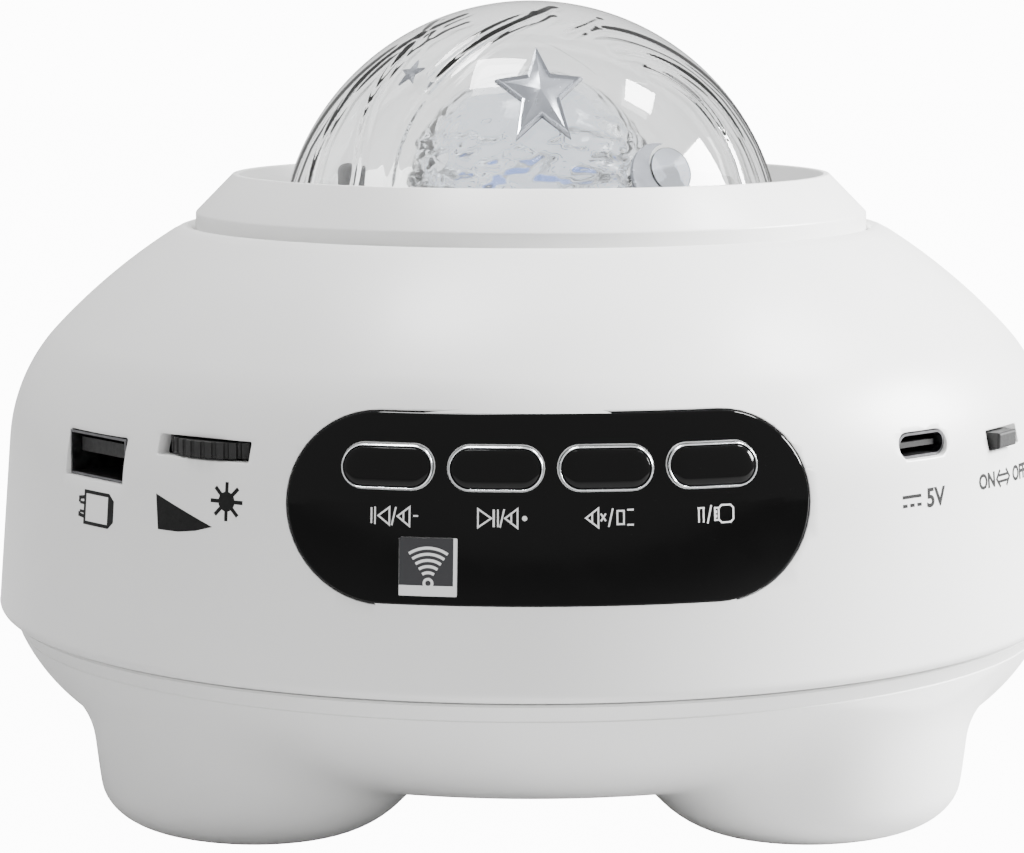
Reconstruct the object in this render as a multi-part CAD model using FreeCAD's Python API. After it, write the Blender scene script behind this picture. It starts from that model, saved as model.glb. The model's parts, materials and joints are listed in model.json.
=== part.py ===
import FreeCAD, Part
import math
import os
from FreeCAD import Vector

# Star night light projector: a saucer-shaped housing on four moulded feet, with a clear
# star dome on top. Millimetres, +Z up, origin on the ground under the middle, front = -Y.
# An azimuth is measured from the front towards +X, seen from above.

os.makedirs("parts", exist_ok=True)
Z_AXIS = Vector(0, 0, 1)
ORIGIN = Vector(0, 0, 0)

# Clearances
FIT = 0.1
SLIDE_FIT = 0.15
SHAFT_FIT = 0.06
SKIN_GAP = 0.3

# Housing profile
WALL = 2.2
BODY_R = 75.0
BODY_Z = 26.0
WALL_TAPER = 4.58
SHOULDER_R = 24.36
SHOULDER_Z = 48.10
CROWN_R = 83.3
CROWN_START = 43.32
MOUTH_R = 47.35
SEAM_Z = 23.7
SEAM_GAP = 0.35
SEAM_ROUND = 1.3
RIM_R = BODY_R - 1.5
RIDGE_R = RIM_R - 1.2
RIDGE_Z = 21.3
BASE_Z = 7.0
BASE_FLAT_R = RIDGE_R - 22.3
TONGUE_H = 3.0
TONGUE_T = 1.3

# Feet: half sizes towards the axis and across, at their heights, and how far each section
# stays inside the parting ridge
FOOT_ANGLES = (45, 135, 225, 315)
FOOT_Z = (0.5, 6.0, 12.0, 17.0, 21.5)
FOOT_HALF_IN = (17.0, 20.0, 23.6, 26.4, 29.2)
FOOT_HALF_ACROSS = (19.5, 22.0, 24.6, 28.0, 33.0)
FOOT_INSIDE = (2.3, 1.1, 0.7, 0.4, 0.1)
FOOT_CENTRE = tuple(RIDGE_R - inside - half for inside, half in zip(FOOT_INSIDE, FOOT_HALF_IN))
FOOT_ROUND = 5.0
PAD_R = 9.0
PAD_T = 1.3
PAD_DEPTH = 0.8

# Housing screws
BOSS_PLACE_R = BASE_FLAT_R
BOSS_R = 3.6
COLUMN_R = 5.2
COLUMN_TOP = 22.0
HEAD_SEAT_Z = 17.0
WELL_R = 3.5
SCREW_R = 1.25
SCREW_HOLE_R = 1.7
SCREW_LENGTH = 15.0
HEAD_R = 2.7
HEAD_H = 1.9

# Ledge, crown ring and dome
LEDGE_TOP = 72.0
LEDGE_T = 2.0
LEDGE_BORE_R = 34.4
NECK_T = 2.1
RING_WALL_R = MOUTH_R - 0.28
RING_CREASE_Z = 78.84
RING_TOP_R = 41.84
RING_TOP_Z = 84.14
RING_LIP = 0.9
RING_WALL = 2.0
DISH_R = 39.4
DISH_Z = 76.6
DISH_EDGE_Z = 75.7
RING_SCREW_PLACE_R = 43.4
RING_SCREW_ANGLES = (45, 135, 225, 315)
RING_BOSS_R = 2.2
RING_BOSS_H = 5.5
SMALL_SCREW_R = 0.9
SMALL_HEAD_R = 1.9
SMALL_HEAD_H = 1.2
SMALL_HOLE_R = 1.1
DOME_R = 35.5
DOME_Z = 72.6
DOME_WALL = 2.4
DOME_FLANGE_R = 39.0
DOME_FLANGE_T = 1.6
STAR_Z = 96.1
STAR_ANGLE = 2.6
STAR_R = 6.2
STAR_WAIST_R = 2.7
STAR_RISE = 0.5
MOON_Z = 86.3
MOON_ANGLE = 31.0
MOON_R = 4.4
MOON_BITE_R = 3.6
MOON_BITE_SHIFT = 1.9
MOTIF_DEEP = 8.0

# Lens deck, turning ripple lens and its drive
DECK_FLOOR_Z = 64.0
DECK_T = 2.0
DECK_CUP_R = 33.5
DECK_CUP_WALL = 2.0
DECK_FLANGE_R = 46.4
HUB_R = 12.9
HUB_BORE_R = 9.9
HUB_TOP = 71.6
TUBE_WALL = 1.0
TUBE_TOP = 80.5
THRUST_H = 0.4
GEAR_MODULE = 0.8
RING_TEETH = 50
PINION_TEETH = 12
TOOTH_RISE = 0.6
TOOTH_ROOT = 0.9
BACKLASH = 0.2
DRIVE_SPREAD = 0.1
GEAR_T = 3.0
BORE_H = 3.4
UPSTAND_R = 15.3
UPSTAND_T = 1.0
UPSTAND_H = 3.0
CLIP_T = 0.8
CLIP_R = 14.0
CLIP_DEPTH = 1.0
RIPPLE_R = 17.0
RIPPLE_WALL = 1.6
RIPPLE_SHOULDER_Z = 82.0
RIPPLE_TOP = 98.5
COLLIMATOR_Z = 76.0
COLLIMATOR_RIM_Z = 80.5
COLLIMATOR_TOP = 82.5
LED_BOARD_T = 1.6
LED_BOARD_R = 15.0
LED_SIDE = 3.0
LED_H = 1.2
LED_PLACE_R = 4.6
SINK_PLATE_T = 3.0
SINK_FIN_H = 7.4
SINK_FIN_T = 1.4
SINK_FIN_PITCH = 4.2
SINK_SCREW_PLACE_R = 12.6
MOTOR_R = 7.2
MOTOR_H = 14.0
MOTOR_SHAFT_R = 1.0
MOTOR_COLLAR_R = 2.6
MOTOR_EAR_REACH = 10.6
MOTOR_EAR_R = 2.6
MOTOR_EAR_T = 1.2
LASER_X = -24.4
LASER_Y = -10.0
LASER_R = 3.2
LASER_SHOULDER_Z = 79.5
LASER_TIP_R = 1.65
LASER_TOP = 85.6
LASER_SOCKET_WALL = 0.9
LASER_SOCKET_H = 3.0

# Control panel and buttons
PANEL_ANGLE = 1.9
PANEL_HALF = 31.9
PANEL_LOW = 35.9
PANEL_HIGH = 58.8
PANEL_T = 1.0
PANEL_PROUD = 0.12
BUTTON_Z = 52.5
BUTTON_COUNT = 4
BUTTON_PITCH = 10.45
BUTTON_W = 11.5
BUTTON_H = 5.3
BUTTON_RISE = 0.8
BUTTON_TRAVEL = 0.5
FLANGE_LIP = 0.3
FLANGE_H = 5.7
FLANGE_DROP = 0.4
FLANGE_BACK = BODY_R - 7.1
FLANGE_T = 0.6
WINDOW_ANGLE = -9.65
WINDOW_Z = 40.6
WINDOW_W = 7.1
WINDOW_H = 7.0
BOARD_FRONT_R = FLANGE_BACK - 3.5
BOARD_T = 0.4
CARRIER_T = 1.8
CARRIER_SPREAD = 24.5
CARRIER_LOW = 37.0
CARRIER_HIGH = 57.4
CARRIER_BOSS_SPREAD = 22.6
CARRIER_BOSS_Z = 40.2
CARRIER_BOSS_R = 2.4
TACT_SIDE = 4.6
TACT_T = 2.6
PLUNGER_R = 1.2
PLUNGER_FRONT = FLANGE_BACK - 0.3
PLUNGER_DEEP = 1.2
RECEIVER_W = 5.2
RECEIVER_T = 3.0

# Main board and its ports
MAIN_TOP = 47.4
MAIN_T = 1.6
MAIN_OUT_R = BODY_R - 9.0
MAIN_IN_R = MAIN_OUT_R - 24.0
MAIN_SPREAD = 66.0
MAIN_FRONT_R = BOARD_FRONT_R - 3.0
POST_ANGLES = (-60, -24, 24, 60)
POST_PLACE_R = MAIN_IN_R + 5.5
POST_R = 3.0
USB_A_ANGLE = -50.1
USB_A_W = 13.1
USB_A_H = 5.7
USB_A_DEEP = 14.0
USB_A_FACE_R = BODY_R - 2.8
USB_C_ANGLE = 43.1
USB_C_W = 8.94
USB_C_H = 3.16
USB_C_DEEP = 7.3
USB_C_FACE_R = BODY_R - 3.1
USB_C_Z = 51.1
SHELL_T = 0.3
INLET_BOARD_T = 1.0
DIMMER_ANGLE = -34.3
DIMMER_SLOT_W = 14.6
DIMMER_SLOT_H = 2.6
DIMMER_Z = 53.1
WHEEL_R = 9.3
WHEEL_T = 2.0
WHEEL_CENTRE_R = BODY_R - 11.3
WHEEL_NOTCHES = 36
WHEEL_NOTCH_R = 0.35
DIMMER_BODY = 9.0
DIMMER_BODY_H = 4.0
DIMMER_SHAFT_R = 1.5
SWITCH_ANGLE = 57.9
SWITCH_SLOT_W = 9.3
SWITCH_SLOT_H = 2.5
SWITCH_Z = 51.7
SWITCH_BODY_W = 12.0
SWITCH_BODY_H = 6.0
SWITCH_FRONT_R = BODY_R - 6.2
SWITCH_BACK_R = SWITCH_FRONT_R - 6.0
SWITCH_STROKE = 3.0
KNOB_W = 5.4
KNOB_H = 2.1
KNOB_OUT_R = BODY_R - 1.0
KNOB_DEEP = 3.0

# Speaker
SPEAKER_R = 25.0
SPEAKER_LIP_R = 22.0
SPEAKER_RIM_T = 1.0
SPEAKER_DEEP = 9.0
BASKET_BACK_R = 13.5
MAGNET_R = 13.0
MAGNET_T = 8.0
GASKET_T = 1.0
CONE_EDGE_R = 21.6
CONE_HUB_R = 6.0
CONE_T = 0.5
CLAMP_R = 2.4
GRILLE_RINGS = (6.0, 10.5, 15.0)
SLOT_W = 1.8
SLOTS_PER_RING = (4, 6, 8)
SLOT_SHARE = 0.7

# Leads
LEAD_R = 0.7


def at(radius, z):
    """A point of a turned profile, in the half plane y = 0."""
    return Vector(radius, 0, z)


def polar(radius, azimuth, z=0.0):
    """A point at an azimuth, where 0 is the front."""
    turn = math.radians(azimuth)
    return Vector(radius * math.sin(turn), -radius * math.cos(turn), z)


def line(a, b):
    return Part.LineSegment(a, b).toShape()


def arc(a, middle, b):
    return Part.Arc(a, middle, b).toShape()


def turned(edges):
    """The solid that closed edges make when turned about the Z axis."""
    return Part.Face(Part.Wire(edges)).revolve(ORIGIN, Z_AXIS, 360)


def turned_polygon(points):
    """A turned solid with a straight-sided section, from (radius, z) pairs."""
    corners = [at(*p) for p in points]
    return turned([line(a, b) for a, b in zip(corners, corners[1:] + corners[:1])])


def rod(radius, low, high, x=0.0, y=0.0):
    return Part.makeCylinder(radius, high - low, Vector(x, y, low), Z_AXIS)


def domed_rod(radius, low, shoulder, top):
    """A rod on the axis with a ball-shaped end, from its shoulder to its top."""
    rise = top - shoulder
    ball_r = (radius ** 2 + rise ** 2) / (2 * rise)
    ball = Part.makeSphere(ball_r, Vector(0, 0, top - ball_r))
    return rod(radius, low, top + 1).common(ball.fuse(rod(radius + 1, low, shoulder)))


def pipe(outer, inner, low, high, x=0.0, y=0.0):
    return rod(outer, low, high, x, y).cut(rod(inner, low - 1, high + 1, x, y))


def block(x0, x1, y0, y1, z0, z1):
    return Part.makeBox(x1 - x0, y1 - y0, z1 - z0, Vector(x0, y0, z0))


def aim(shape, azimuth):
    """Turns a shape that was made facing the front to its azimuth."""
    turned_shape = shape.copy()
    turned_shape.rotate(ORIGIN, Z_AXIS, azimuth)
    return turned_shape


def radial_rod(radius, inner, outer, azimuth, z):
    """A rod that points outwards, between two distances from the axis."""
    rod_shape = Part.makeCylinder(radius, outer - inner, Vector(0, -inner, z), Vector(0, -1, 0))
    return aim(rod_shape, azimuth)


def stadium(width, height, inner, outer, z):
    """A round-ended bar that faces the front, between two distances from the axis."""
    half = height / 2
    reach = width / 2 - half
    low_left = Vector(-reach, -inner, z - half)
    low_right = Vector(reach, -inner, z - half)
    high_right = Vector(reach, -inner, z + half)
    high_left = Vector(-reach, -inner, z + half)
    right = arc(low_right, Vector(reach + half, -inner, z), high_right)
    left = arc(high_left, Vector(-reach - half, -inner, z), low_left)
    outline = Part.Wire([line(low_left, low_right), right, line(high_right, high_left), left])
    return Part.Face(outline).extrude(Vector(0, inner - outer, 0))


def facing_box(width, height, inner, outer, z):
    """A box that faces the front, centred on a height."""
    return block(-width / 2, width / 2, -outer, -inner, z - height / 2, z + height / 2)


def save(name, shape):
    """Writes one node and prints what it holds."""
    solids = shape.Solids
    node = solids[0] if len(solids) == 1 else Part.makeCompound(solids)
    node.exportStep("parts/%s.step" % name)
    print("%-24s solids %2d  volume %10.1f  valid %s" % (name, len(solids), shape.Volume, shape.isValid()))


def group(name, shapes):
    """Writes several separate solids as one node."""
    save(name, Part.makeCompound([solid for shape in shapes for solid in shape.Solids]))


# Upper housing: the outline is a tapered wall, a shoulder arc and a flatter crown arc, each
# tangent to the next, so an inner skin has the same centres and smaller radii.
taper = math.radians(WALL_TAPER)
crown_start = math.radians(CROWN_START)
wall_top_r = BODY_R - (SHOULDER_Z - BODY_Z) * math.tan(taper)
shoulder_x = wall_top_r - SHOULDER_R * math.cos(taper)
shoulder_c = SHOULDER_Z - SHOULDER_R * math.sin(taper)
crown_x = shoulder_x - (CROWN_R - SHOULDER_R) * math.cos(crown_start)
crown_c = shoulder_c - (CROWN_R - SHOULDER_R) * math.sin(crown_start)


def wall_r(z, depth=0.0):
    """Distance from the axis to the wall at a height, at a depth under the outside."""
    if z < SHOULDER_Z:
        return BODY_R - (z - BODY_Z) * math.tan(taper) - depth / math.cos(taper)
    reach = SHOULDER_R - depth
    return shoulder_x + math.sqrt(reach ** 2 - (z - shoulder_c) ** 2)


def crown_z(radius, depth=0.0):
    """Height of the crown at a distance from the axis."""
    return crown_c + math.sqrt((CROWN_R - depth) ** 2 - (radius - crown_x) ** 2)


def housing_skin(depth, low):
    """The turned body under the outside skin at a depth, down to a height."""
    side = SHOULDER_R - depth
    top = CROWN_R - depth
    foot_of_wall = at(BODY_R - (low - BODY_Z) * math.tan(taper) - depth / math.cos(taper), low)
    wall_end = at(shoulder_x + side * math.cos(taper), shoulder_c + side * math.sin(taper))
    half_turn = (taper + crown_start) / 2
    shoulder_mid = at(shoulder_x + side * math.cos(half_turn), shoulder_c + side * math.sin(half_turn))
    shoulder_end = at(shoulder_x + side * math.cos(crown_start), shoulder_c + side * math.sin(crown_start))
    mouth = at(MOUTH_R, crown_z(MOUTH_R, depth))
    mouth_turn = math.acos((MOUTH_R - crown_x) / top)
    mid_turn = (crown_start + mouth_turn) / 2
    crown_mid = at(crown_x + top * math.cos(mid_turn), crown_c + top * math.sin(mid_turn))
    edges = [
        line(at(0, low), foot_of_wall),
        line(foot_of_wall, wall_end),
        arc(wall_end, shoulder_mid, shoulder_end),
        arc(shoulder_end, crown_mid, mouth),
        line(mouth, at(0, mouth.z)),
        line(at(0, mouth.z), at(0, low)),
    ]
    return turned(edges)


def button_angle(index):
    return PANEL_ANGLE + (index - (BUTTON_COUNT - 1) / 2) * BUTTON_PITCH


def panel_bar(clearance):
    """The round-ended bar that cuts the panel's outline out of the wall."""
    width = 2 * PANEL_HALF + 2 * clearance
    height = PANEL_HIGH - PANEL_LOW + 2 * clearance
    bar = stadium(width, height, BOARD_FRONT_R - 12, BODY_R + 5, (PANEL_LOW + PANEL_HIGH) / 2)
    return aim(bar, PANEL_ANGLE)


def wall_openings():
    """Through-openings of the wall for the buttons, the window and the ports."""
    deep = BOARD_FRONT_R - 4.4
    out = BODY_R + 5
    cuts = []
    for index in range(BUTTON_COUNT):
        hole = stadium(BUTTON_W + 2 * SLIDE_FIT, BUTTON_H + 2 * SLIDE_FIT, deep, out, BUTTON_Z)
        cuts.append(aim(hole, button_angle(index)))
    window_lip = 0.8
    window = facing_box(WINDOW_W - 2 * window_lip, WINDOW_H - 2 * window_lip, deep, out, WINDOW_Z)
    cuts.append(aim(window, WINDOW_ANGLE))
    usb_a_z = MAIN_TOP + USB_A_H / 2
    cuts.append(aim(facing_box(USB_A_W + 2 * FIT, USB_A_H + 2 * FIT, deep, out, usb_a_z), USB_A_ANGLE))
    usb_c_z = USB_C_Z + USB_C_H / 2
    cuts.append(aim(stadium(USB_C_W + 2 * FIT, USB_C_H + 2 * FIT, deep, out, usb_c_z), USB_C_ANGLE))
    cuts.append(aim(facing_box(DIMMER_SLOT_W, DIMMER_SLOT_H, deep, out, DIMMER_Z), DIMMER_ANGLE))
    cuts.append(aim(facing_box(SWITCH_SLOT_W, SWITCH_SLOT_H, deep, out, SWITCH_Z), SWITCH_ANGLE))
    return cuts


def column_to_crown(radius, azimuth, place_r, low):
    """A round column from a height up into the crown, trimmed by the inner skin."""
    spot = polar(place_r, azimuth)
    return rod(radius, low, crown_z(place_r), spot.x, spot.y)


def upper_housing():
    outer = housing_skin(0, SEAM_Z + SEAM_GAP)
    inner = housing_skin(WALL, SEAM_Z - 1)
    shell = outer.cut(inner)
    # The lower edge rounds in to the parting line.
    low = SEAM_Z + SEAM_GAP
    edge_r = BODY_R - (low - BODY_Z) * math.tan(taper)
    round_top = at(edge_r - SEAM_ROUND * math.tan(taper), low + SEAM_ROUND)
    trim_mid = at(edge_r - SEAM_ROUND * 0.35, low + SEAM_ROUND * 0.3)
    corner = [
        line(at(edge_r + 1, low - 1), at(edge_r + 1, round_top.z)),
        line(at(edge_r + 1, round_top.z), round_top),
        arc(round_top, trim_mid, at(edge_r - SEAM_ROUND, low)),
        line(at(edge_r - SEAM_ROUND, low), at(edge_r - SEAM_ROUND, low - 1)),
        line(at(edge_r - SEAM_ROUND, low - 1), at(edge_r + 1, low - 1)),
    ]
    shell = shell.cut(turned(corner))
    # Neck and ledge that carry the crown ring and the dome.
    neck_top = crown_z(MOUTH_R) - 0.01
    neck = pipe(MOUTH_R + NECK_T, MOUTH_R, LEDGE_TOP - LEDGE_T, neck_top)
    neck = neck.common(housing_skin(WALL / 2, SEAM_Z))
    ledge = pipe(MOUTH_R + NECK_T, LEDGE_BORE_R, LEDGE_TOP - LEDGE_T, LEDGE_TOP)
    columns = [column_to_crown(BOSS_R, 90 * i, BOSS_PLACE_R, COLUMN_TOP) for i in range(4)]
    columns += [column_to_crown(POST_R, angle, POST_PLACE_R, MAIN_TOP) for angle in POST_ANGLES]
    columns = [column.common(housing_skin(WALL / 2, SEAM_Z - 3)) for column in columns]
    carrier_bosses = []
    for side in (-1, 1):
        boss = radial_rod(CARRIER_BOSS_R, BOARD_FRONT_R, wall_r(CARRIER_BOSS_Z, WALL / 2),
                          PANEL_ANGLE + side * CARRIER_BOSS_SPREAD, CARRIER_BOSS_Z)
        carrier_bosses.append(boss)
    body = shell.fuse([neck, ledge] + columns + carrier_bosses).removeSplitter()
    # The mouth, the pocket for the panel, then the through-openings and the screw holes.
    mouth = rod(MOUTH_R, LEDGE_TOP, RING_TOP_Z)
    pocket = panel_bar(FIT).cut(housing_skin(PANEL_T, PANEL_LOW - 5))
    cuts = [mouth, pocket] + wall_openings()
    for i in range(4):
        spot = polar(BOSS_PLACE_R, 90 * i)
        hole_top = HEAD_SEAT_Z + SCREW_LENGTH
        cuts.append(rod(SCREW_R, COLUMN_TOP - 1, hole_top, spot.x, spot.y))
    for angle in POST_ANGLES:
        spot = polar(POST_PLACE_R, angle)
        cuts.append(rod(SMALL_SCREW_R, MAIN_TOP - 1, MAIN_TOP + 6, spot.x, spot.y))
    for angle in RING_SCREW_ANGLES:
        spot = polar(RING_SCREW_PLACE_R, angle)
        cuts.append(rod(SMALL_HOLE_R, LEDGE_TOP - LEDGE_T - 1, LEDGE_TOP + 1, spot.x, spot.y))
    for side in (-1, 1):
        cuts.append(radial_rod(SMALL_SCREW_R, BOARD_FRONT_R - 1, BOARD_FRONT_R + 4,
                               PANEL_ANGLE + side * CARRIER_BOSS_SPREAD, CARRIER_BOSS_Z))
    save("upper_housing", body.cut(cuts))


def bowl(depth):
    """The turned bowl of the lower housing, at a depth under its outside, up to the seam."""
    rise = RIDGE_Z - BASE_Z
    run = RIDGE_R - BASE_FLAT_R
    arc_r = (run ** 2 + rise ** 2) / (2 * rise)
    centre_z = BASE_Z + arc_r
    reach = arc_r - depth
    end_turn = math.atan2(centre_z - RIDGE_Z, run)
    end = at(BASE_FLAT_R + reach * math.cos(end_turn), centre_z - reach * math.sin(end_turn))
    mid_turn = (end_turn + math.pi / 2) / 2
    middle = at(BASE_FLAT_R + reach * math.cos(mid_turn), centre_z - reach * math.sin(mid_turn))
    flat_end = at(BASE_FLAT_R, BASE_Z + depth)
    rim = at(RIM_R - depth, SEAM_Z)
    edges = [
        line(at(0, BASE_Z + depth), flat_end),
        arc(flat_end, middle, end),
        line(end, rim),
        line(rim, at(0, SEAM_Z)),
        line(at(0, SEAM_Z), at(0, BASE_Z + depth)),
    ]
    return turned(edges)


def foot_form(shrink, low, high):
    """One foot, lofted through its oval sections; shrink sets it in for the hollow."""
    sections = []
    for z, centre, half_in, half_across in zip(FOOT_Z, FOOT_CENTRE, FOOT_HALF_IN, FOOT_HALF_ACROSS):
        level = low if z == FOOT_Z[0] else z
        level = high if z == FOOT_Z[-1] else level
        long_half = half_across - shrink
        short_half = half_in - shrink
        oval = Part.Ellipse(Vector(0, 0, 0), long_half, short_half).toShape()
        wire = Part.Wire([oval])
        wire.translate(Vector(0, -centre, level))
        sections.append(wire)
    return Part.makeLoft(sections, True, False)


def bottom_edges(shape, level):
    """The edges of a shape that lie flat at a level."""
    tolerance = 0.01
    return [e for e in shape.Edges if abs(e.BoundBox.ZMin - level) < tolerance
            and abs(e.BoundBox.ZMax - level) < tolerance]


def curved_slot(radius, width, start, sweep, low, high):
    """A slot along an arc about the axis, square-ended."""
    ring = pipe(radius + width / 2, radius - width / 2, low, high)
    reach = radius * 3
    wedge_points = [Vector(0, 0, low), polar(reach, start, low), polar(reach, start + sweep / 2, low),
                    polar(reach, start + sweep, low), Vector(0, 0, low)]
    wedge = Part.Face(Part.makePolygon(wedge_points)).extrude(Vector(0, 0, high - low))
    return ring.common(wedge)


def lower_housing():
    outer_foot = foot_form(0, FOOT_Z[0], FOOT_Z[-1])
    outer_foot = outer_foot.makeFillet(FOOT_ROUND, bottom_edges(outer_foot, FOOT_Z[0]))
    inner_foot = foot_form(WALL, FOOT_Z[0] + WALL, FOOT_Z[-1] + 1)
    inner_foot = inner_foot.makeFillet(FOOT_ROUND - WALL, bottom_edges(inner_foot, FOOT_Z[0] + WALL))
    inner_foot = inner_foot.common(rod(RIDGE_R - WALL, 0, SEAM_Z))
    outside = bowl(0).fuse([aim(outer_foot, angle) for angle in FOOT_ANGLES])
    inside = bowl(WALL).fuse([aim(inner_foot, angle) for angle in FOOT_ANGLES])
    body = outside.cut(inside)
    # Tongue that locates the upper housing.
    tongue_out = wall_r(BODY_Z, WALL) - SLIDE_FIT
    tongue_in = tongue_out - TONGUE_T
    tongue = turned_polygon([(tongue_in, SEAM_Z - TONGUE_H), (RIM_R - WALL / 2, SEAM_Z - TONGUE_H),
                             (RIM_R - WALL / 2, SEAM_Z), (tongue_out, SEAM_Z),
                             (tongue_out, SEAM_Z + TONGUE_H), (tongue_in, SEAM_Z + TONGUE_H)])
    tongue = tongue.common(bowl(WALL / 4).fuse(rod(tongue_out, SEAM_Z - 1, SEAM_Z + TONGUE_H)))
    parts = [tongue]
    cuts = []
    for i in range(4):
        spot = polar(BOSS_PLACE_R, 90 * i)
        parts.append(rod(COLUMN_R, BASE_Z + WALL / 2, COLUMN_TOP, spot.x, spot.y))
        cuts.append(rod(WELL_R, BASE_Z - 1, HEAD_SEAT_Z, spot.x, spot.y))
        cuts.append(rod(SCREW_HOLE_R, BASE_Z - 1, COLUMN_TOP + 1, spot.x, spot.y))
    for i in range(4):
        spot = polar(SPEAKER_R + CLAMP_R + FIT, 90 * i)
        rim_top = BASE_Z + WALL + GASKET_T + SPEAKER_RIM_T
        parts.append(rod(CLAMP_R, BASE_Z + WALL / 2, rim_top, spot.x, spot.y))
        cuts.append(rod(SMALL_SCREW_R, BASE_Z + WALL, rim_top + 1, spot.x, spot.y))
    for angle in FOOT_ANGLES:
        spot = polar(FOOT_CENTRE[0], angle)
        cuts.append(rod(PAD_R + FIT, -1, FOOT_Z[0] + PAD_DEPTH, spot.x, spot.y))
    for radius, count in zip(GRILLE_RINGS, SLOTS_PER_RING):
        for k in range(count):
            step = 360 / count
            start = k * step
            cuts.append(curved_slot(radius, SLOT_W, start, step * SLOT_SHARE, BASE_Z - 1, BASE_Z + WALL + 1))
    save("lower_housing", body.fuse(parts).cut(cuts))
    pads = []
    for angle in FOOT_ANGLES:
        spot = polar(FOOT_CENTRE[0], angle)
        pads.append(rod(PAD_R, 0, PAD_T, spot.x, spot.y))
    group("foot_pads", pads)


def screw(radius, head_r, head_h, length, seat, spot):
    """A pan-head screw pointing up, with its head under the seat and a cross recess."""
    head = rod(head_r, seat - head_h, seat, spot.x, spot.y)
    head = head.makeFillet(head_h * 0.45, bottom_edges(head, seat - head_h))
    shank = rod(radius, seat, seat + length, spot.x, spot.y)
    deep = head_h * 0.5
    wide = head_r * 0.14
    long = head_r * 0.6
    low = seat - head_h - 1
    cross = [block(spot.x - long, spot.x + long, spot.y - wide, spot.y + wide, low, seat - head_h + deep),
             block(spot.x - wide, spot.x + wide, spot.y - long, spot.y + long, low, seat - head_h + deep)]
    return head.fuse(shank).cut(cross)


def fasteners():
    main = [screw(SCREW_R, HEAD_R, HEAD_H, SCREW_LENGTH, HEAD_SEAT_Z, polar(BOSS_PLACE_R, 90 * i))
            for i in range(4)]
    group("housing_screws", main)
    board_seat = MAIN_TOP - MAIN_T
    group("main_board_screws", [screw(SMALL_SCREW_R, SMALL_HEAD_R, SMALL_HEAD_H, MAIN_T + 5, board_seat,
                                      polar(POST_PLACE_R, angle)) for angle in POST_ANGLES])
    deck_seat = LEDGE_TOP - LEDGE_T - DECK_T
    reach = DECK_T + LEDGE_T + RING_BOSS_H - 1
    group("crown_ring_screws", [screw(SMALL_SCREW_R, SMALL_HEAD_R, SMALL_HEAD_H, reach, deck_seat,
                                      polar(RING_SCREW_PLACE_R, angle)) for angle in RING_SCREW_ANGLES])
    rim_top = BASE_Z + WALL + GASKET_T + SPEAKER_RIM_T
    clamps = []
    for i in range(4):
        spot = polar(SPEAKER_R + CLAMP_R + FIT, 90 * i)
        clamp_length = rim_top - BASE_Z - WALL - FIT
        clamp = screw(SMALL_SCREW_R, CLAMP_R + 1, SMALL_HEAD_H, clamp_length, 0, ORIGIN)
        clamp.rotate(ORIGIN, Vector(1, 0, 0), 180)
        clamp.translate(Vector(spot.x, spot.y, rim_top))
        clamps.append(clamp)
    group("speaker_screws", clamps)
    carriers = []
    for side in (-1, 1):
        seat_r = math.sqrt((BOARD_FRONT_R - BOARD_T - CARRIER_T) ** 2 - SMALL_HEAD_R ** 2)
        carrier = screw(SMALL_SCREW_R, SMALL_HEAD_R, SMALL_HEAD_H, CARRIER_T + BOARD_T + 3, 0, ORIGIN)
        carrier.rotate(ORIGIN, Vector(1, 0, 0), 90)
        carrier.translate(Vector(0, -seat_r, CARRIER_BOSS_Z))
        carriers.append(aim(carrier, PANEL_ANGLE + side * CARRIER_BOSS_SPREAD))
    group("carrier_screws", carriers)


def crown_ring():
    boss_top = LEDGE_TOP + RING_BOSS_H
    dish_in = math.sqrt(DOME_R ** 2 - (DISH_EDGE_Z - DOME_Z) ** 2) + SKIN_GAP
    under_dish = LEDGE_TOP + DOME_FLANGE_T + FIT
    bevel_drop = RING_WALL * 1.25
    section = [(RING_WALL_R, LEDGE_TOP), (RING_WALL_R, RING_CREASE_Z), (RING_TOP_R, RING_TOP_Z),
               (RING_TOP_R - RING_LIP, RING_TOP_Z), (DISH_R, DISH_Z), (dish_in, DISH_EDGE_Z),
               (dish_in, under_dish), (DISH_R + RING_LIP, under_dish),
               (DISH_R + RING_LIP, DISH_Z - 1), (RING_TOP_R - RING_LIP + 0.9, RING_TOP_Z - bevel_drop),
               (RING_WALL_R - RING_WALL, RING_CREASE_Z - RING_WALL / 2), (RING_WALL_R - RING_WALL, LEDGE_TOP)]
    ring = turned_polygon(section)
    bosses = []
    cuts = []
    for angle in RING_SCREW_ANGLES:
        spot = polar(RING_SCREW_PLACE_R, angle)
        bosses.append(rod(RING_BOSS_R, LEDGE_TOP, boss_top, spot.x, spot.y))
        cuts.append(rod(SMALL_SCREW_R, LEDGE_TOP - 1, boss_top - 1, spot.x, spot.y))
    save("crown_ring", ring.fuse(bosses).cut(cuts))


def star_outline(points, tip_r, waist_r, distance):
    """A star that faces the front, its first tip up, centred on the axis height 0."""
    corners = []
    for k in range(2 * points):
        reach = tip_r if k % 2 == 0 else waist_r
        turn = math.pi * k / points
        corners.append(Vector(reach * math.sin(turn), -distance, reach * math.cos(turn)))
    corners.append(corners[0])
    return Part.Face(Part.makePolygon(corners))


def on_dome(shape, z, azimuth):
    """Tilts a motif made on the front of the dome, at height 0, to its place on the dome."""
    moved = shape.copy()
    tilt = math.degrees(math.asin((z - DOME_Z) / DOME_R))
    moved.rotate(ORIGIN, Vector(1, 0, 0), -tilt)
    moved.translate(Vector(0, 0, DOME_Z))
    return aim(moved, azimuth)


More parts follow.
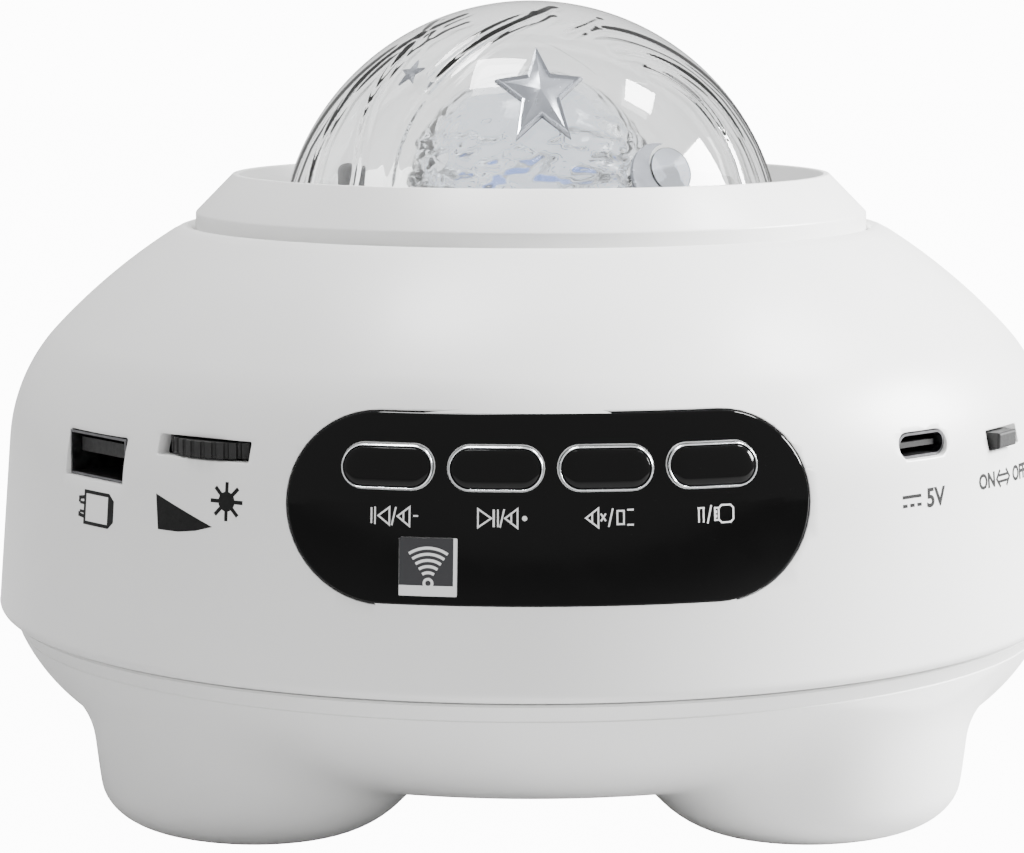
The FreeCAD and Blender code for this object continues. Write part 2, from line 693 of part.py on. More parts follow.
def dome_lens():
    flange_top = LEDGE_TOP + DOME_FLANGE_T
    ball = Part.makeSphere(DOME_R, Vector(0, 0, DOME_Z))
    hollow = Part.makeSphere(DOME_R - DOME_WALL, Vector(0, 0, DOME_Z))
    keep = rod(DOME_R + 5, DOME_Z, DOME_Z + DOME_R + 5)
    shell = ball.common(keep)
    shell = shell.fuse(rod(DOME_R, LEDGE_TOP, DOME_Z)).fuse(rod(DOME_FLANGE_R, LEDGE_TOP, flange_top))
    inside = hollow.common(keep).fuse(rod(DOME_R - DOME_WALL, LEDGE_TOP - 1, DOME_Z))
    shell = shell.removeSplitter().cut(inside)
    # The big star and the moon stand on the outside of the dome.
    skin = Part.makeSphere(DOME_R + STAR_RISE, Vector(0, 0, DOME_Z))
    skin = skin.cut(Part.makeSphere(DOME_R - DOME_WALL / 2, Vector(0, 0, DOME_Z)))
    star = star_outline(5, STAR_R, STAR_WAIST_R, DOME_R - MOTIF_DEEP / 2).extrude(Vector(0, -MOTIF_DEEP, 0))
    star = on_dome(star, STAR_Z, STAR_ANGLE)
    motif_back = Vector(0, MOTIF_DEEP / 2 - DOME_R, 0)
    disc = Part.makeCylinder(MOON_R, MOTIF_DEEP, motif_back, Vector(0, -1, 0))
    bite_back = motif_back + Vector(MOON_BITE_SHIFT, 1, 0)
    bite = Part.makeCylinder(MOON_BITE_R, MOTIF_DEEP + 2, bite_back, Vector(0, -1, 0))
    moon = on_dome(disc.cut(bite), MOON_Z, MOON_ANGLE)
    save("dome_lens", shell.fuse([skin.common(star), skin.common(moon)]))


def gear_face(teeth, first_tooth):
    """A spur gear outline with involute flanks; first_tooth is the angle of one tooth."""
    pitch_r = GEAR_MODULE * teeth / 2
    pressure = math.radians(20)
    base_r = pitch_r * math.cos(pressure)
    tip_r = pitch_r + TOOTH_RISE
    root_r = pitch_r - TOOTH_ROOT
    half_at_pitch = (math.pi * GEAR_MODULE / 2 - BACKLASH) / (2 * pitch_r)
    flank_start = max(base_r, root_r)

    def half_angle(radius):
        roll = math.acos(min(1.0, base_r / radius))
        return half_at_pitch + (math.tan(pressure) - pressure) - (math.tan(roll) - roll)

    steps = 4
    radii = [flank_start + (tip_r - flank_start) * k / (steps - 1) for k in range(steps)]
    outline = []
    for tooth in range(teeth):
        middle = math.radians(first_tooth) + 2 * math.pi * tooth / teeth
        rising = [(r, middle - half_angle(r)) for r in radii]
        falling = [(r, middle + half_angle(r)) for r in reversed(radii)]
        if root_r < flank_start:
            rising.insert(0, (root_r, middle - half_angle(flank_start)))
            falling.append((root_r, middle + half_angle(flank_start)))
        outline += rising + falling
    corners = [Vector(r * math.cos(a), r * math.sin(a), 0) for r, a in outline]
    corners.append(corners[0])
    return Part.Face(Part.makePolygon(corners))


drive_distance = GEAR_MODULE * (RING_TEETH + PINION_TEETH) / 2 + DRIVE_SPREAD
deck_top = DECK_FLOOR_Z + DECK_T
rotor_low = deck_top + THRUST_H + SHAFT_FIT
rotor_top = rotor_low + BORE_H


def lens_deck():
    flange_top = LEDGE_TOP - LEDGE_T
    floor = rod(DECK_CUP_R, DECK_FLOOR_Z, deck_top)
    wall = pipe(DECK_CUP_R, DECK_CUP_R - DECK_CUP_WALL, DECK_FLOOR_Z, flange_top)
    flange = pipe(DECK_FLANGE_R, DECK_CUP_R - DECK_CUP_WALL, flange_top - DECK_T, flange_top)
    hub = rod(HUB_R, DECK_FLOOR_Z, HUB_TOP)
    thrust = rod(HUB_R + 2, deck_top, deck_top + THRUST_H)
    tube = rod(HUB_BORE_R + TUBE_WALL, DECK_FLOOR_Z, TUBE_TOP)
    socket = rod(LASER_R + FIT + LASER_SOCKET_WALL, deck_top, deck_top + LASER_SOCKET_H, LASER_X, LASER_Y)
    body = floor.fuse([wall, flange, hub, thrust, tube, socket])
    cuts = [rod(HUB_BORE_R, DECK_FLOOR_Z - 1, TUBE_TOP + 1),
            pipe(HUB_R + 1, HUB_R - CLIP_DEPTH, rotor_top + SHAFT_FIT, rotor_top + SHAFT_FIT + CLIP_T),
            rod(LASER_R + FIT, deck_top, TUBE_TOP, LASER_X, LASER_Y),
            rod(SMALL_HOLE_R, DECK_FLOOR_Z - 1, deck_top + 1, LASER_X, LASER_Y),
            rod(MOTOR_COLLAR_R + FIT, DECK_FLOOR_Z - 1, deck_top + 1, 0, drive_distance)]
    # The main screw columns of the upper housing stay clear of the flange.
    for i in range(4):
        spot = polar(BOSS_PLACE_R, 90 * i)
        cuts.append(rod(BOSS_R + SKIN_GAP, DECK_FLOOR_Z, flange_top + 1, spot.x, spot.y))
    for angle in POST_ANGLES:
        spot = polar(POST_PLACE_R, angle)
        cuts.append(rod(POST_R + SKIN_GAP, DECK_FLOOR_Z, flange_top + 1, spot.x, spot.y))
    for angle in RING_SCREW_ANGLES:
        spot = polar(RING_SCREW_PLACE_R, angle)
        cuts.append(rod(SMALL_HOLE_R, DECK_FLOOR_Z, flange_top + 1, spot.x, spot.y))
    for side in (-1, 1):
        cuts.append(rod(SMALL_SCREW_R, DECK_FLOOR_Z - 1, deck_top - 0.4, side * SINK_SCREW_PLACE_R, 0))
        ear_x = side * MOTOR_EAR_REACH
        cuts.append(rod(SMALL_SCREW_R, DECK_FLOOR_Z - 1, deck_top - 0.4, ear_x, drive_distance))
    save("lens_deck", body.cut(cuts))


def rotor():
    height = Vector(0, 0, GEAR_T)
    gear = gear_face(RING_TEETH, 90).extrude(height)
    gear.translate(Vector(0, 0, rotor_low))
    hub = rod(HUB_R + 1.4, rotor_low, rotor_top)
    upstand = pipe(UPSTAND_R, UPSTAND_R - UPSTAND_T, rotor_low + GEAR_T - 0.5, rotor_low + GEAR_T + UPSTAND_H)
    bore = rod(HUB_R + SHAFT_FIT, rotor_low - 1, rotor_top + 10)
    save("rotor_gear", gear.fuse([hub, upstand]).cut(bore))
    skirt_low = rotor_low + GEAR_T
    outside = domed_rod(RIPPLE_R, skirt_low, RIPPLE_SHOULDER_Z, RIPPLE_TOP)
    inside = domed_rod(RIPPLE_R - RIPPLE_WALL, skirt_low - 1, RIPPLE_SHOULDER_Z, RIPPLE_TOP - RIPPLE_WALL)
    save("ripple_lens", outside.cut(inside))
    low = rotor_top + SHAFT_FIT
    clip = pipe(CLIP_R, HUB_R - CLIP_DEPTH, low + SHAFT_FIT, low + CLIP_T - SHAFT_FIT)
    opening = block(0, CLIP_R + 1, -HUB_R * 0.35, HUB_R * 0.35, low, low + CLIP_T)
    save("rotor_clip", clip.cut(opening))


def drive():
    pinion_low = rotor_low
    pinion = gear_face(PINION_TEETH, -90 + 180 / PINION_TEETH).extrude(Vector(0, 0, GEAR_T))
    pinion.translate(Vector(0, drive_distance, pinion_low))
    save("motor_pinion", pinion.cut(rod(MOTOR_SHAFT_R, pinion_low - 1, pinion_low + 10, 0, drive_distance)))
    shaft_low = DECK_FLOOR_Z - 3
    save("motor_shaft", rod(MOTOR_SHAFT_R, shaft_low, pinion_low + GEAR_T + 0.4, 0, drive_distance))
    case = rod(MOTOR_R, DECK_FLOOR_Z - MOTOR_H, DECK_FLOOR_Z, 0, drive_distance)
    case = case.makeFillet(1.0, bottom_edges(case, DECK_FLOOR_Z - MOTOR_H))
    collar = rod(MOTOR_COLLAR_R, DECK_FLOOR_Z - 1, deck_top, 0, drive_distance)
    ear_low = DECK_FLOOR_Z - MOTOR_EAR_T
    ears = [rod(MOTOR_EAR_R, ear_low, DECK_FLOOR_Z, s * MOTOR_EAR_REACH, drive_distance) for s in (-1, 1)]
    ears.append(block(-MOTOR_EAR_REACH, MOTOR_EAR_REACH, drive_distance - MOTOR_EAR_R,
                      drive_distance + MOTOR_EAR_R, ear_low, DECK_FLOOR_Z))
    case = case.fuse([collar] + ears)
    cuts = [rod(MOTOR_SHAFT_R + SHAFT_FIT, shaft_low - 0.5, deck_top + 1, 0, drive_distance)]
    for side in (-1, 1):
        cuts.append(rod(SMALL_HOLE_R, ear_low - 1, DECK_FLOOR_Z + 1, side * MOTOR_EAR_REACH, drive_distance))
    save("gear_motor", case.cut(cuts))
    group("motor_screws", [screw(SMALL_SCREW_R, SMALL_HEAD_R, SMALL_HEAD_H, MOTOR_EAR_T + 1.5, ear_low,
                                 Vector(s * MOTOR_EAR_REACH, drive_distance, 0)) for s in (-1, 1)])


def light_engine():
    led_top = DECK_FLOOR_Z
    board_low = led_top - LED_BOARD_T
    board = rod(LED_BOARD_R, board_low, led_top)
    screw_spots = [Vector(s * SINK_SCREW_PLACE_R, 0, 0) for s in (-1, 1)]
    holes = [rod(SMALL_HOLE_R, board_low - 20, led_top + 1, spot.x, spot.y) for spot in screw_spots]
    save("led_board", board.cut(holes))
    leds = []
    for k in range(4):
        spot = polar(LED_PLACE_R, 45 + 90 * k)
        leds.append(block(spot.x - LED_SIDE / 2, spot.x + LED_SIDE / 2, spot.y - LED_SIDE / 2,
                          spot.y + LED_SIDE / 2, led_top, led_top + LED_H))
    group("light_leds", leds)
    plate_low = board_low - SINK_PLATE_T
    sink = rod(LED_BOARD_R, plate_low, board_low)
    fin_zone = rod(LED_BOARD_R, plate_low - SINK_FIN_H, plate_low)
    fins = []
    for k in range(-3, 4):
        x = k * SINK_FIN_PITCH
        fin = block(x - SINK_FIN_T / 2, x + SINK_FIN_T / 2, -LED_BOARD_R, LED_BOARD_R,
                    plate_low - SINK_FIN_H, plate_low)
        fins.append(fin.common(fin_zone))
    head_rooms = [rod(SMALL_HEAD_R + 0.5, plate_low - SINK_FIN_H - 1, plate_low, spot.x, spot.y)
                  for spot in screw_spots]
    save("heat_sink", sink.fuse(fins).cut(head_rooms + holes))
    group("sink_screws", [screw(SMALL_SCREW_R, SMALL_HEAD_R, SMALL_HEAD_H, SINK_PLATE_T + LED_BOARD_T + 1.4,
                                plate_low, spot) for spot in screw_spots])
    lens_r = HUB_BORE_R - FIT
    save("collimator_lens", domed_rod(lens_r, COLLIMATOR_Z, COLLIMATOR_RIM_Z, COLLIMATOR_TOP))
    barrel = rod(LASER_R, deck_top, LASER_SHOULDER_Z, LASER_X, LASER_Y)
    tip = rod(LASER_TIP_R, LASER_SHOULDER_Z - 1, LASER_TOP, LASER_X, LASER_Y)
    tip_edges = [e for e in tip.Edges if e.BoundBox.ZMin > LASER_TOP - 0.01]
    tip = tip.makeFillet(LASER_TIP_R * 0.7, tip_edges)
    save("laser_module", barrel.fuse(tip))


def control_panel():
    outline = panel_bar(0)
    outer = housing_skin(-PANEL_PROUD, PANEL_LOW - 5)
    inner = housing_skin(PANEL_T, PANEL_LOW - 6)
    plate = outline.common(outer).cut(inner)
    front = BODY_R + 5
    cuts = []
    for index in range(BUTTON_COUNT):
        hole = stadium(BUTTON_W + 2 * SLIDE_FIT, BUTTON_H + 2 * SLIDE_FIT, MAIN_FRONT_R, front, BUTTON_Z)
        cuts.append(aim(hole, button_angle(index)))
    window_bar = facing_box(WINDOW_W, WINDOW_H, MAIN_FRONT_R, front, WINDOW_Z)
    window_bar = aim(window_bar, WINDOW_ANGLE)
    hole_bar = facing_box(WINDOW_W + 2 * FIT, WINDOW_H + 2 * FIT, MAIN_FRONT_R, front, WINDOW_Z)
    hole_bar = aim(hole_bar, WINDOW_ANGLE)
    save("control_panel", plate.cut(cuts + [hole_bar]))
    save("ir_window", window_bar.common(outer).cut(inner))


def buttons():
    outer = housing_skin(-BUTTON_RISE, PANEL_LOW - 5)
    bodies = []
    for index in range(BUTTON_COUNT):
        angle = button_angle(index)
        bar = aim(stadium(BUTTON_W, BUTTON_H, FLANGE_BACK + FLANGE_T / 2, BODY_R + 5, BUTTON_Z), angle)
        cap = bar.common(outer)
        flange_w = BUTTON_W + 2 * FLANGE_LIP
        flange = stadium(flange_w, FLANGE_H, FLANGE_BACK, FLANGE_BACK + FLANGE_T, BUTTON_Z - FLANGE_DROP)
        flange = aim(flange, angle)
        nub = radial_rod(PLUNGER_R + 0.5, PLUNGER_FRONT, FLANGE_BACK + 0.2, angle, BUTTON_Z)
        save("button_cap_%d" % (index + 1), cap.fuse([flange, nub]))
        switch_front = BOARD_FRONT_R + TACT_T
        plunger_back = switch_front - PLUNGER_DEEP + BUTTON_TRAVEL + FIT
        plunger = radial_rod(PLUNGER_R, plunger_back, PLUNGER_FRONT, angle, BUTTON_Z)
        save("switch_plunger_%d" % (index + 1), plunger)
        body = aim(facing_box(TACT_SIDE, TACT_SIDE, BOARD_FRONT_R, switch_front, BUTTON_Z), angle)
        bodies.append(body.cut(radial_rod(PLUNGER_R + SHAFT_FIT, switch_front - PLUNGER_DEEP,
                                          switch_front + 1, angle, BUTTON_Z)))
    group("button_switches", bodies)


def arc_plate(inner, outer, spread, low, high, middle):
    """A plate that follows the wall, over an angle each side of its middle."""
    return aim(curved_slot((inner + outer) / 2, outer - inner, -spread, 2 * spread, low, high), middle)


def button_board():
    board_back = BOARD_FRONT_R - BOARD_T
    carrier_back = board_back - CARRIER_T
    holes = [radial_rod(SMALL_HOLE_R, carrier_back - 2, BOARD_FRONT_R + 2,
                        PANEL_ANGLE + side * CARRIER_BOSS_SPREAD, CARRIER_BOSS_Z) for side in (-1, 1)]
    board = arc_plate(board_back, BOARD_FRONT_R, CARRIER_SPREAD, CARRIER_LOW, CARRIER_HIGH, PANEL_ANGLE)
    save("button_board", board.cut(holes))
    carrier = arc_plate(carrier_back, board_back, CARRIER_SPREAD, CARRIER_LOW, CARRIER_HIGH, PANEL_ANGLE)
    save("button_carrier", carrier.cut(holes))
    receiver = facing_box(RECEIVER_W, RECEIVER_W, BOARD_FRONT_R, BOARD_FRONT_R + RECEIVER_T, WINDOW_Z)
    bulge = Part.makeSphere(RECEIVER_W * 0.36, Vector(0, -(BOARD_FRONT_R + RECEIVER_T - 0.6), WINDOW_Z))
    save("infrared_receiver", aim(receiver.fuse(bulge), WINDOW_ANGLE))


def main_board():
    low = MAIN_TOP - MAIN_T
    board = arc_plate(MAIN_IN_R, MAIN_OUT_R, MAIN_SPREAD, low, MAIN_TOP, 0)
    cut_spread = CARRIER_SPREAD + 2.5
    front_cut = arc_plate(MAIN_FRONT_R, MAIN_OUT_R + 2, cut_spread, low - 1, MAIN_TOP + 1, PANEL_ANGLE)
    front = polar(BOSS_PLACE_R, 0)
    cuts = [front_cut, rod(BOSS_R + SKIN_GAP, low - 1, MAIN_TOP + 1, front.x, front.y)]
    for angle in POST_ANGLES:
        spot = polar(POST_PLACE_R, angle)
        cuts.append(rod(SMALL_HOLE_R, low - 1, MAIN_TOP + 1, spot.x, spot.y))
    save("main_board", board.cut(cuts))
    chip_front = MAIN_OUT_R - 8
    chips = [aim(block(-5, 5, -chip_front, 10 - chip_front, MAIN_TOP, MAIN_TOP + 1.6), -13),
             aim(block(-4, 4, -chip_front, 6 - chip_front, MAIN_TOP, MAIN_TOP + 1.8), 13),
             aim(block(-3, 3, 1 - chip_front, 7 - chip_front, low - 2.4, low), 36)]
    chips.append(aim(rod(3.2, MAIN_TOP, MAIN_TOP + 8, 0, -(MAIN_IN_R + 5)), -42))
    chips.append(aim(rod(2.6, MAIN_TOP, MAIN_TOP + 6.5, 0, -(MAIN_IN_R + 6)), 42))
    group("board_components", chips)


def hollow_socket(bar, hollow, tongue, name, angle):
    """A metal socket shell and the plastic tongue inside it."""
    save(name + "_shell", aim(bar.cut(hollow), angle))
    save(name + "_tongue", aim(tongue, angle))


def ports():
    usb_a_z = MAIN_TOP + USB_A_H / 2
    back = USB_A_FACE_R - USB_A_DEEP
    outer = facing_box(USB_A_W, USB_A_H, back, USB_A_FACE_R, usb_a_z)
    inner_w = USB_A_W - 2 * SHELL_T
    inner_h = USB_A_H - 2 * SHELL_T
    hollow = facing_box(inner_w, inner_h, back + SHELL_T, USB_A_FACE_R + 1, usb_a_z)
    block_part = facing_box(inner_w, inner_h, back + SHELL_T, back + 4.5, usb_a_z)
    blade_z = usb_a_z + USB_A_H / 2 - SHELL_T - 1.5
    blade = facing_box(10.6, 1.8, back + 4, USB_A_FACE_R - 1.0, blade_z)
    hollow_socket(outer, hollow, block_part.fuse(blade), "usb_a_socket", USB_A_ANGLE)
    usb_c_z = USB_C_Z + USB_C_H / 2
    back = USB_C_FACE_R - USB_C_DEEP
    outer = stadium(USB_C_W, USB_C_H, back, USB_C_FACE_R, usb_c_z)
    hollow = stadium(USB_C_W - 2 * SHELL_T, USB_C_H - 2 * SHELL_T, back + SHELL_T, USB_C_FACE_R + 1, usb_c_z)
    core = stadium(USB_C_W - 2 * SHELL_T, USB_C_H - 2 * SHELL_T, back + SHELL_T, back + 2.0, usb_c_z)
    blade = facing_box(6.6, 0.7, back + 1, USB_C_FACE_R - 0.8, usb_c_z)
    hollow_socket(outer, hollow, core.fuse(blade), "usb_c_socket", USB_C_ANGLE)
    board_top = USB_C_Z
    inlet = block(-7, 7, -(USB_C_FACE_R - 2.4), -(back - 2), board_top - INLET_BOARD_T, board_top)
    save("inlet_board", aim(inlet, USB_C_ANGLE))
    riser = block(-6, 6, -(back + 1.2), -(back - 1.6), MAIN_TOP, board_top - INLET_BOARD_T)
    save("inlet_riser", aim(riser, USB_C_ANGLE))


def dimmer():
    spot = polar(WHEEL_CENTRE_R, DIMMER_ANGLE)
    half = DIMMER_BODY / 2
    body_top = MAIN_TOP + DIMMER_BODY_H
    body_front = WHEEL_CENTRE_R + 2.2
    body = block(-half, half, -body_front, -(WHEEL_CENTRE_R - half), MAIN_TOP, body_top)
    body = aim(body, DIMMER_ANGLE)
    save("dimmer_body", body.cut(rod(DIMMER_SHAFT_R + SHAFT_FIT, body_top - 2, body_top + 1, spot.x, spot.y)))
    low = DIMMER_Z - WHEEL_T / 2
    wheel = rod(WHEEL_R, low, low + WHEEL_T, spot.x, spot.y)
    notches = []
    for k in range(WHEEL_NOTCHES):
        turn = 2 * math.pi * k / WHEEL_NOTCHES
        notches.append(rod(WHEEL_NOTCH_R, low - 1, low + WHEEL_T + 1, spot.x + WHEEL_R * math.cos(turn),
                           spot.y + WHEEL_R * math.sin(turn)))
    stem = rod(DIMMER_SHAFT_R, body_top - 2 + FIT, low + 0.5, spot.x, spot.y)
    save("dimmer_wheel", wheel.cut(notches).fuse(stem))


def power_switch():
    body = block(-SWITCH_BODY_W / 2, SWITCH_BODY_W / 2, -SWITCH_FRONT_R, -SWITCH_BACK_R,
                 MAIN_TOP, MAIN_TOP + SWITCH_BODY_H)
    track_w = KNOB_W + SWITCH_STROKE + 2 * SLIDE_FIT
    track_deep = KNOB_DEEP + SLIDE_FIT
    track_h = KNOB_H + 2 * SLIDE_FIT
    track = facing_box(track_w, track_h, SWITCH_FRONT_R - track_deep, SWITCH_FRONT_R + 1, SWITCH_Z)
    save("power_switch_body", aim(body.cut(track), SWITCH_ANGLE))
    knob = facing_box(KNOB_W, KNOB_H, SWITCH_FRONT_R - KNOB_DEEP, KNOB_OUT_R, SWITCH_Z)
    knob.translate(Vector(-SWITCH_STROKE / 2, 0, 0))
    outer_edges = [e for e in knob.Edges if e.BoundBox.YMax < -(KNOB_OUT_R - 0.01)]
    save("power_switch_knob", aim(knob.makeFillet(0.4, outer_edges), SWITCH_ANGLE))


def speaker():
    floor = BASE_Z + WALL
    rim_low = floor + GASKET_T
    rim_top = rim_low + SPEAKER_RIM_T
    back = rim_low + SPEAKER_DEEP
    save("speaker_gasket", pipe(SPEAKER_R, SPEAKER_LIP_R, floor, rim_low))
    basket = turned_polygon([(SPEAKER_LIP_R, rim_low), (SPEAKER_R, rim_low), (SPEAKER_R, rim_top),
                             (SPEAKER_LIP_R + 1, rim_top), (BASKET_BACK_R + 1, back), (CONE_HUB_R, back),
                             (CONE_HUB_R, back - 1), (BASKET_BACK_R, back - 1), (SPEAKER_LIP_R, rim_top)])
    windows = []
    for k in range(4):
        window = block(-3.5, 3.5, -SPEAKER_LIP_R, -BASKET_BACK_R, rim_top + 2, back - 1.8)
        windows.append(aim(window, 45 + 90 * k))
    save("speaker_frame", basket.cut(windows))
    cone = turned_polygon([(CONE_EDGE_R, rim_low + 0.4), (CONE_EDGE_R, rim_low + 0.4 + CONE_T),
                           (CONE_HUB_R, back - 3), (0, back - 4.6), (0, back - 4.6 - CONE_T),
                           (CONE_HUB_R, back - 3 - CONE_T)])
    surround = turned_polygon([(CONE_EDGE_R - 0.5, rim_low + 0.2), (SPEAKER_LIP_R, rim_low + 0.2),
                               (SPEAKER_LIP_R, rim_low + 0.7), (CONE_EDGE_R - 0.5, rim_low + 0.7)])
    save("speaker_cone", cone.fuse(surround))
    magnet = rod(MAGNET_R, back, back + MAGNET_T)
    top_edges = [e for e in magnet.Edges if e.BoundBox.ZMin > back + MAGNET_T - 0.01]
    save("speaker_magnet", magnet.makeFillet(0.8, top_edges))


def lead(name, corners, radius):
    """A held lead along straight runs joined by tangent arcs; prints its radii."""
    edges = []
    start = corners[0]
    radii = []
    for before, corner, after in zip(corners, corners[1:], corners[2:]):
        incoming = (corner - before).normalize()
        outgoing = (after - corner).normalize()
        turn = math.acos(max(-1.0, min(1.0, incoming.dot(outgoing))))
        run = min((corner - before).Length, (after - corner).Length)
        bend = 0.45 * run / math.tan(turn / 2)
        tangent = 0.45 * run
        radii.append(round(bend, 1))
        first = corner - incoming * tangent
        last = corner + outgoing * tangent
        inward = (outgoing - incoming).normalize()
        middle = corner + inward * (bend / math.cos(turn / 2) - bend)
        edges.append(line(start, first))
        edges.append(arc(first, middle, last))
        start = last
    edges.append(line(start, corners[-1]))
    path = Part.Wire(edges)
    direction = (corners[1] - corners[0]).normalize()
    profile = Part.Wire([Part.Circle(corners[0], direction, radius).toShape()])
    tube = path.makePipeShell([profile], True, False)
    expected = math.pi * radius ** 2 * path.Length
    print("%s radii %s volume share %.3f" % (name, radii, tube.Volume / expected))
    save(name, tube)


def leads():
    back = BASE_Z + WALL + GASKET_T + SPEAKER_DEEP
    board_low = MAIN_TOP - MAIN_T
    board_near = MAIN_IN_R + 3.0
    speaker_end = polar(board_near, -63.4)
    lead("speaker_lead", [Vector(-MAGNET_R, 6, back + 3), Vector(-22, 6, back + 3), Vector(-31, 2, back + 8),
                          Vector(-37, -8, board_low - 10.8),
                          Vector(speaker_end.x, speaker_end.y, board_low - 7.8),
                          Vector(speaker_end.x, speaker_end.y, board_low)], LEAD_R)
    edge_y = -4
    edge_x = math.sqrt((LED_BOARD_R - FIT) ** 2 - edge_y ** 2)
    led_mid = DECK_FLOOR_Z - LED_BOARD_T / 2
    light_end = polar(board_near, 48.6)
    lead("light_lead", [Vector(edge_x, edge_y, led_mid), Vector(edge_x + 8.5, edge_y, led_mid),
                        Vector(30, -14, led_mid - 4), Vector(light_end.x, light_end.y + 5, MAIN_TOP + 9),
                        Vector(light_end.x, light_end.y, MAIN_TOP + 5),
                        Vector(light_end.x, light_end.y, MAIN_TOP)], LEAD_R)
    motor_low = DECK_FLOOR_Z - MOTOR_H
    motor_end = polar(board_near, 56)
    lead("motor_lead", [Vector(0, drive_distance, motor_low), Vector(0, drive_distance, motor_low - 7),
                        Vector(10, 22, 36), Vector(25, 14, 33), Vector(36, 0, 33),
                        Vector(motor_end.x + 1, motor_end.y + 8, board_low - 9.8),
                        Vector(motor_end.x, motor_end.y, board_low - 6.8),
                        Vector(motor_end.x, motor_end.y, board_low)], LEAD_R)


upper_housing()
lower_housing()
fasteners()
crown_ring()
dome_lens()
lens_deck()
rotor()
drive()
light_engine()
control_panel()
buttons()
button_board()
main_board()
ports()
dimmer()
power_switch()
speaker()
leads()
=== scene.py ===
import bpy
import bmesh
import json
import math
import numpy as np
from mathutils import Matrix, Vector


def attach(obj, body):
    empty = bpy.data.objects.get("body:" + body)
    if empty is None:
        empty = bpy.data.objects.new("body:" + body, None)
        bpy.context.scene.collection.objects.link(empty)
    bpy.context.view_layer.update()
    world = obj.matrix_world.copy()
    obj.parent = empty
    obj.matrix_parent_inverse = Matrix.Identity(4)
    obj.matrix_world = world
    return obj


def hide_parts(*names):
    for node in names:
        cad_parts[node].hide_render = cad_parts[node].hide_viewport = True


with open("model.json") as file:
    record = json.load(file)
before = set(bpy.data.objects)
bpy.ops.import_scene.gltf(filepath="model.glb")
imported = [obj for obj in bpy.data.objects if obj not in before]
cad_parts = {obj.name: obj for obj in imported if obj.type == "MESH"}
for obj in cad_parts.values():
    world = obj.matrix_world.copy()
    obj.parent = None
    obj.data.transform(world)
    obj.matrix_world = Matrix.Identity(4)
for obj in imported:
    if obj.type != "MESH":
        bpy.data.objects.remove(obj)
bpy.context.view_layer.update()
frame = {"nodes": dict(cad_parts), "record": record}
MM = 0.001
scene = bpy.context.scene


# Camera. It stands 451 mm in front of the axis at the height of the dome's top, looks down
# 7.6 degrees, and has the long lens of a product shot. The photograph is framed a little left
# of the axis.
PHOTO_WIDTH = 1024
FOCAL_PIXELS = 3198
AXIS_RIGHT_OF_MIDDLE = 19
camera_data = bpy.data.cameras.new("studio_camera")
camera_data.sensor_width = 36
camera_data.lens = FOCAL_PIXELS / PHOTO_WIDTH * camera_data.sensor_width
camera_data.shift_x = -AXIS_RIGHT_OF_MIDDLE / PHOTO_WIDTH
camera_data.clip_start = 0.02
camera_data.clip_end = 20
camera = bpy.data.objects.new("studio_camera", camera_data)
camera.location = (0, -0.4514, 0.108)
camera.rotation_euler = (math.radians(90 - 7.58), 0, 0)
scene.collection.objects.link(camera)
scene.camera = camera


# Studio. A pale floor in even white air, a strong soft box at the right, and two small ones
# high up, at the right and overhead, that the clear dome mirrors.
def linear(hex_code):
    """An sRGB hex colour as the linear colour that a shader takes."""
    channels = [int(hex_code[i:i + 2], 16) / 255 for i in (0, 2, 4)]
    bright = [c / 12.92 if c <= 0.04045 else ((c + 0.055) / 1.055) ** 2.4 for c in channels]
    return (*bright, 1.0)


def add(tree, kind, settings=None, inputs=None):
    """Adds a node, sets its options, and fills its inputs with values or links."""
    node = tree.nodes.new(kind)
    for name, value in (settings or {}).items():
        setattr(node, name, value)
    for key, value in (inputs or {}).items():
        if isinstance(value, bpy.types.NodeSocket):
            tree.links.new(value, node.inputs[key])
        else:
            node.inputs[key].default_value = value
    return node


def new_material(name):
    material = bpy.data.materials.new(name)
    material.use_nodes = True
    material.node_tree.nodes.clear()
    return material, material.node_tree


def surface(tree, shader):
    add(tree, "ShaderNodeOutputMaterial", inputs={"Surface": shader.outputs[0]})


def shader(tree, inputs):
    """Ends a material in one layered shader."""
    surface(tree, add(tree, "ShaderNodeBsdfPrincipled", inputs=inputs))


def object_noise(tree, size_mm):
    """Noise on Object coordinates whose grains are about one size across."""
    place = add(tree, "ShaderNodeTexCoord")
    return add(tree, "ShaderNodeTexNoise", inputs={
        "Vector": place.outputs["Object"], "Scale": 1 / (size_mm * MM), "Detail": 2.0}).outputs[0]


def spread(tree, noise, low, high):
    """Noise stretched to a range of numbers."""
    return add(tree, "ShaderNodeMapRange", inputs={
        "Value": noise, "From Min": 0.3, "From Max": 0.7, "To Min": low, "To Max": high}).outputs[0]


def tinted(tree, noise, first, second):
    """Noise stretched between two near colours."""
    ramp = add(tree, "ShaderNodeValToRGB", inputs={"Fac": noise})
    for element, position, shade in zip(ramp.color_ramp.elements, (0.35, 0.65), (first, second)):
        element.position = position
        element.color = linear(shade)
    return ramp.outputs[0]


def by_ray(tree, camera_share, through_share, rest):
    """A number for all rays, with more for those from the camera and those through clear pieces."""
    path = add(tree, "ShaderNodeLightPath")
    through = add(tree, "ShaderNodeMath", {"operation": "MULTIPLY_ADD"}, {
        0: path.outputs["Is Transmission Ray"], 1: through_share, 2: rest})
    return add(tree, "ShaderNodeMath", {"operation": "MULTIPLY_ADD"}, {
        0: path.outputs["Is Camera Ray"], 1: camera_share, 2: through.outputs[0]}).outputs[0]


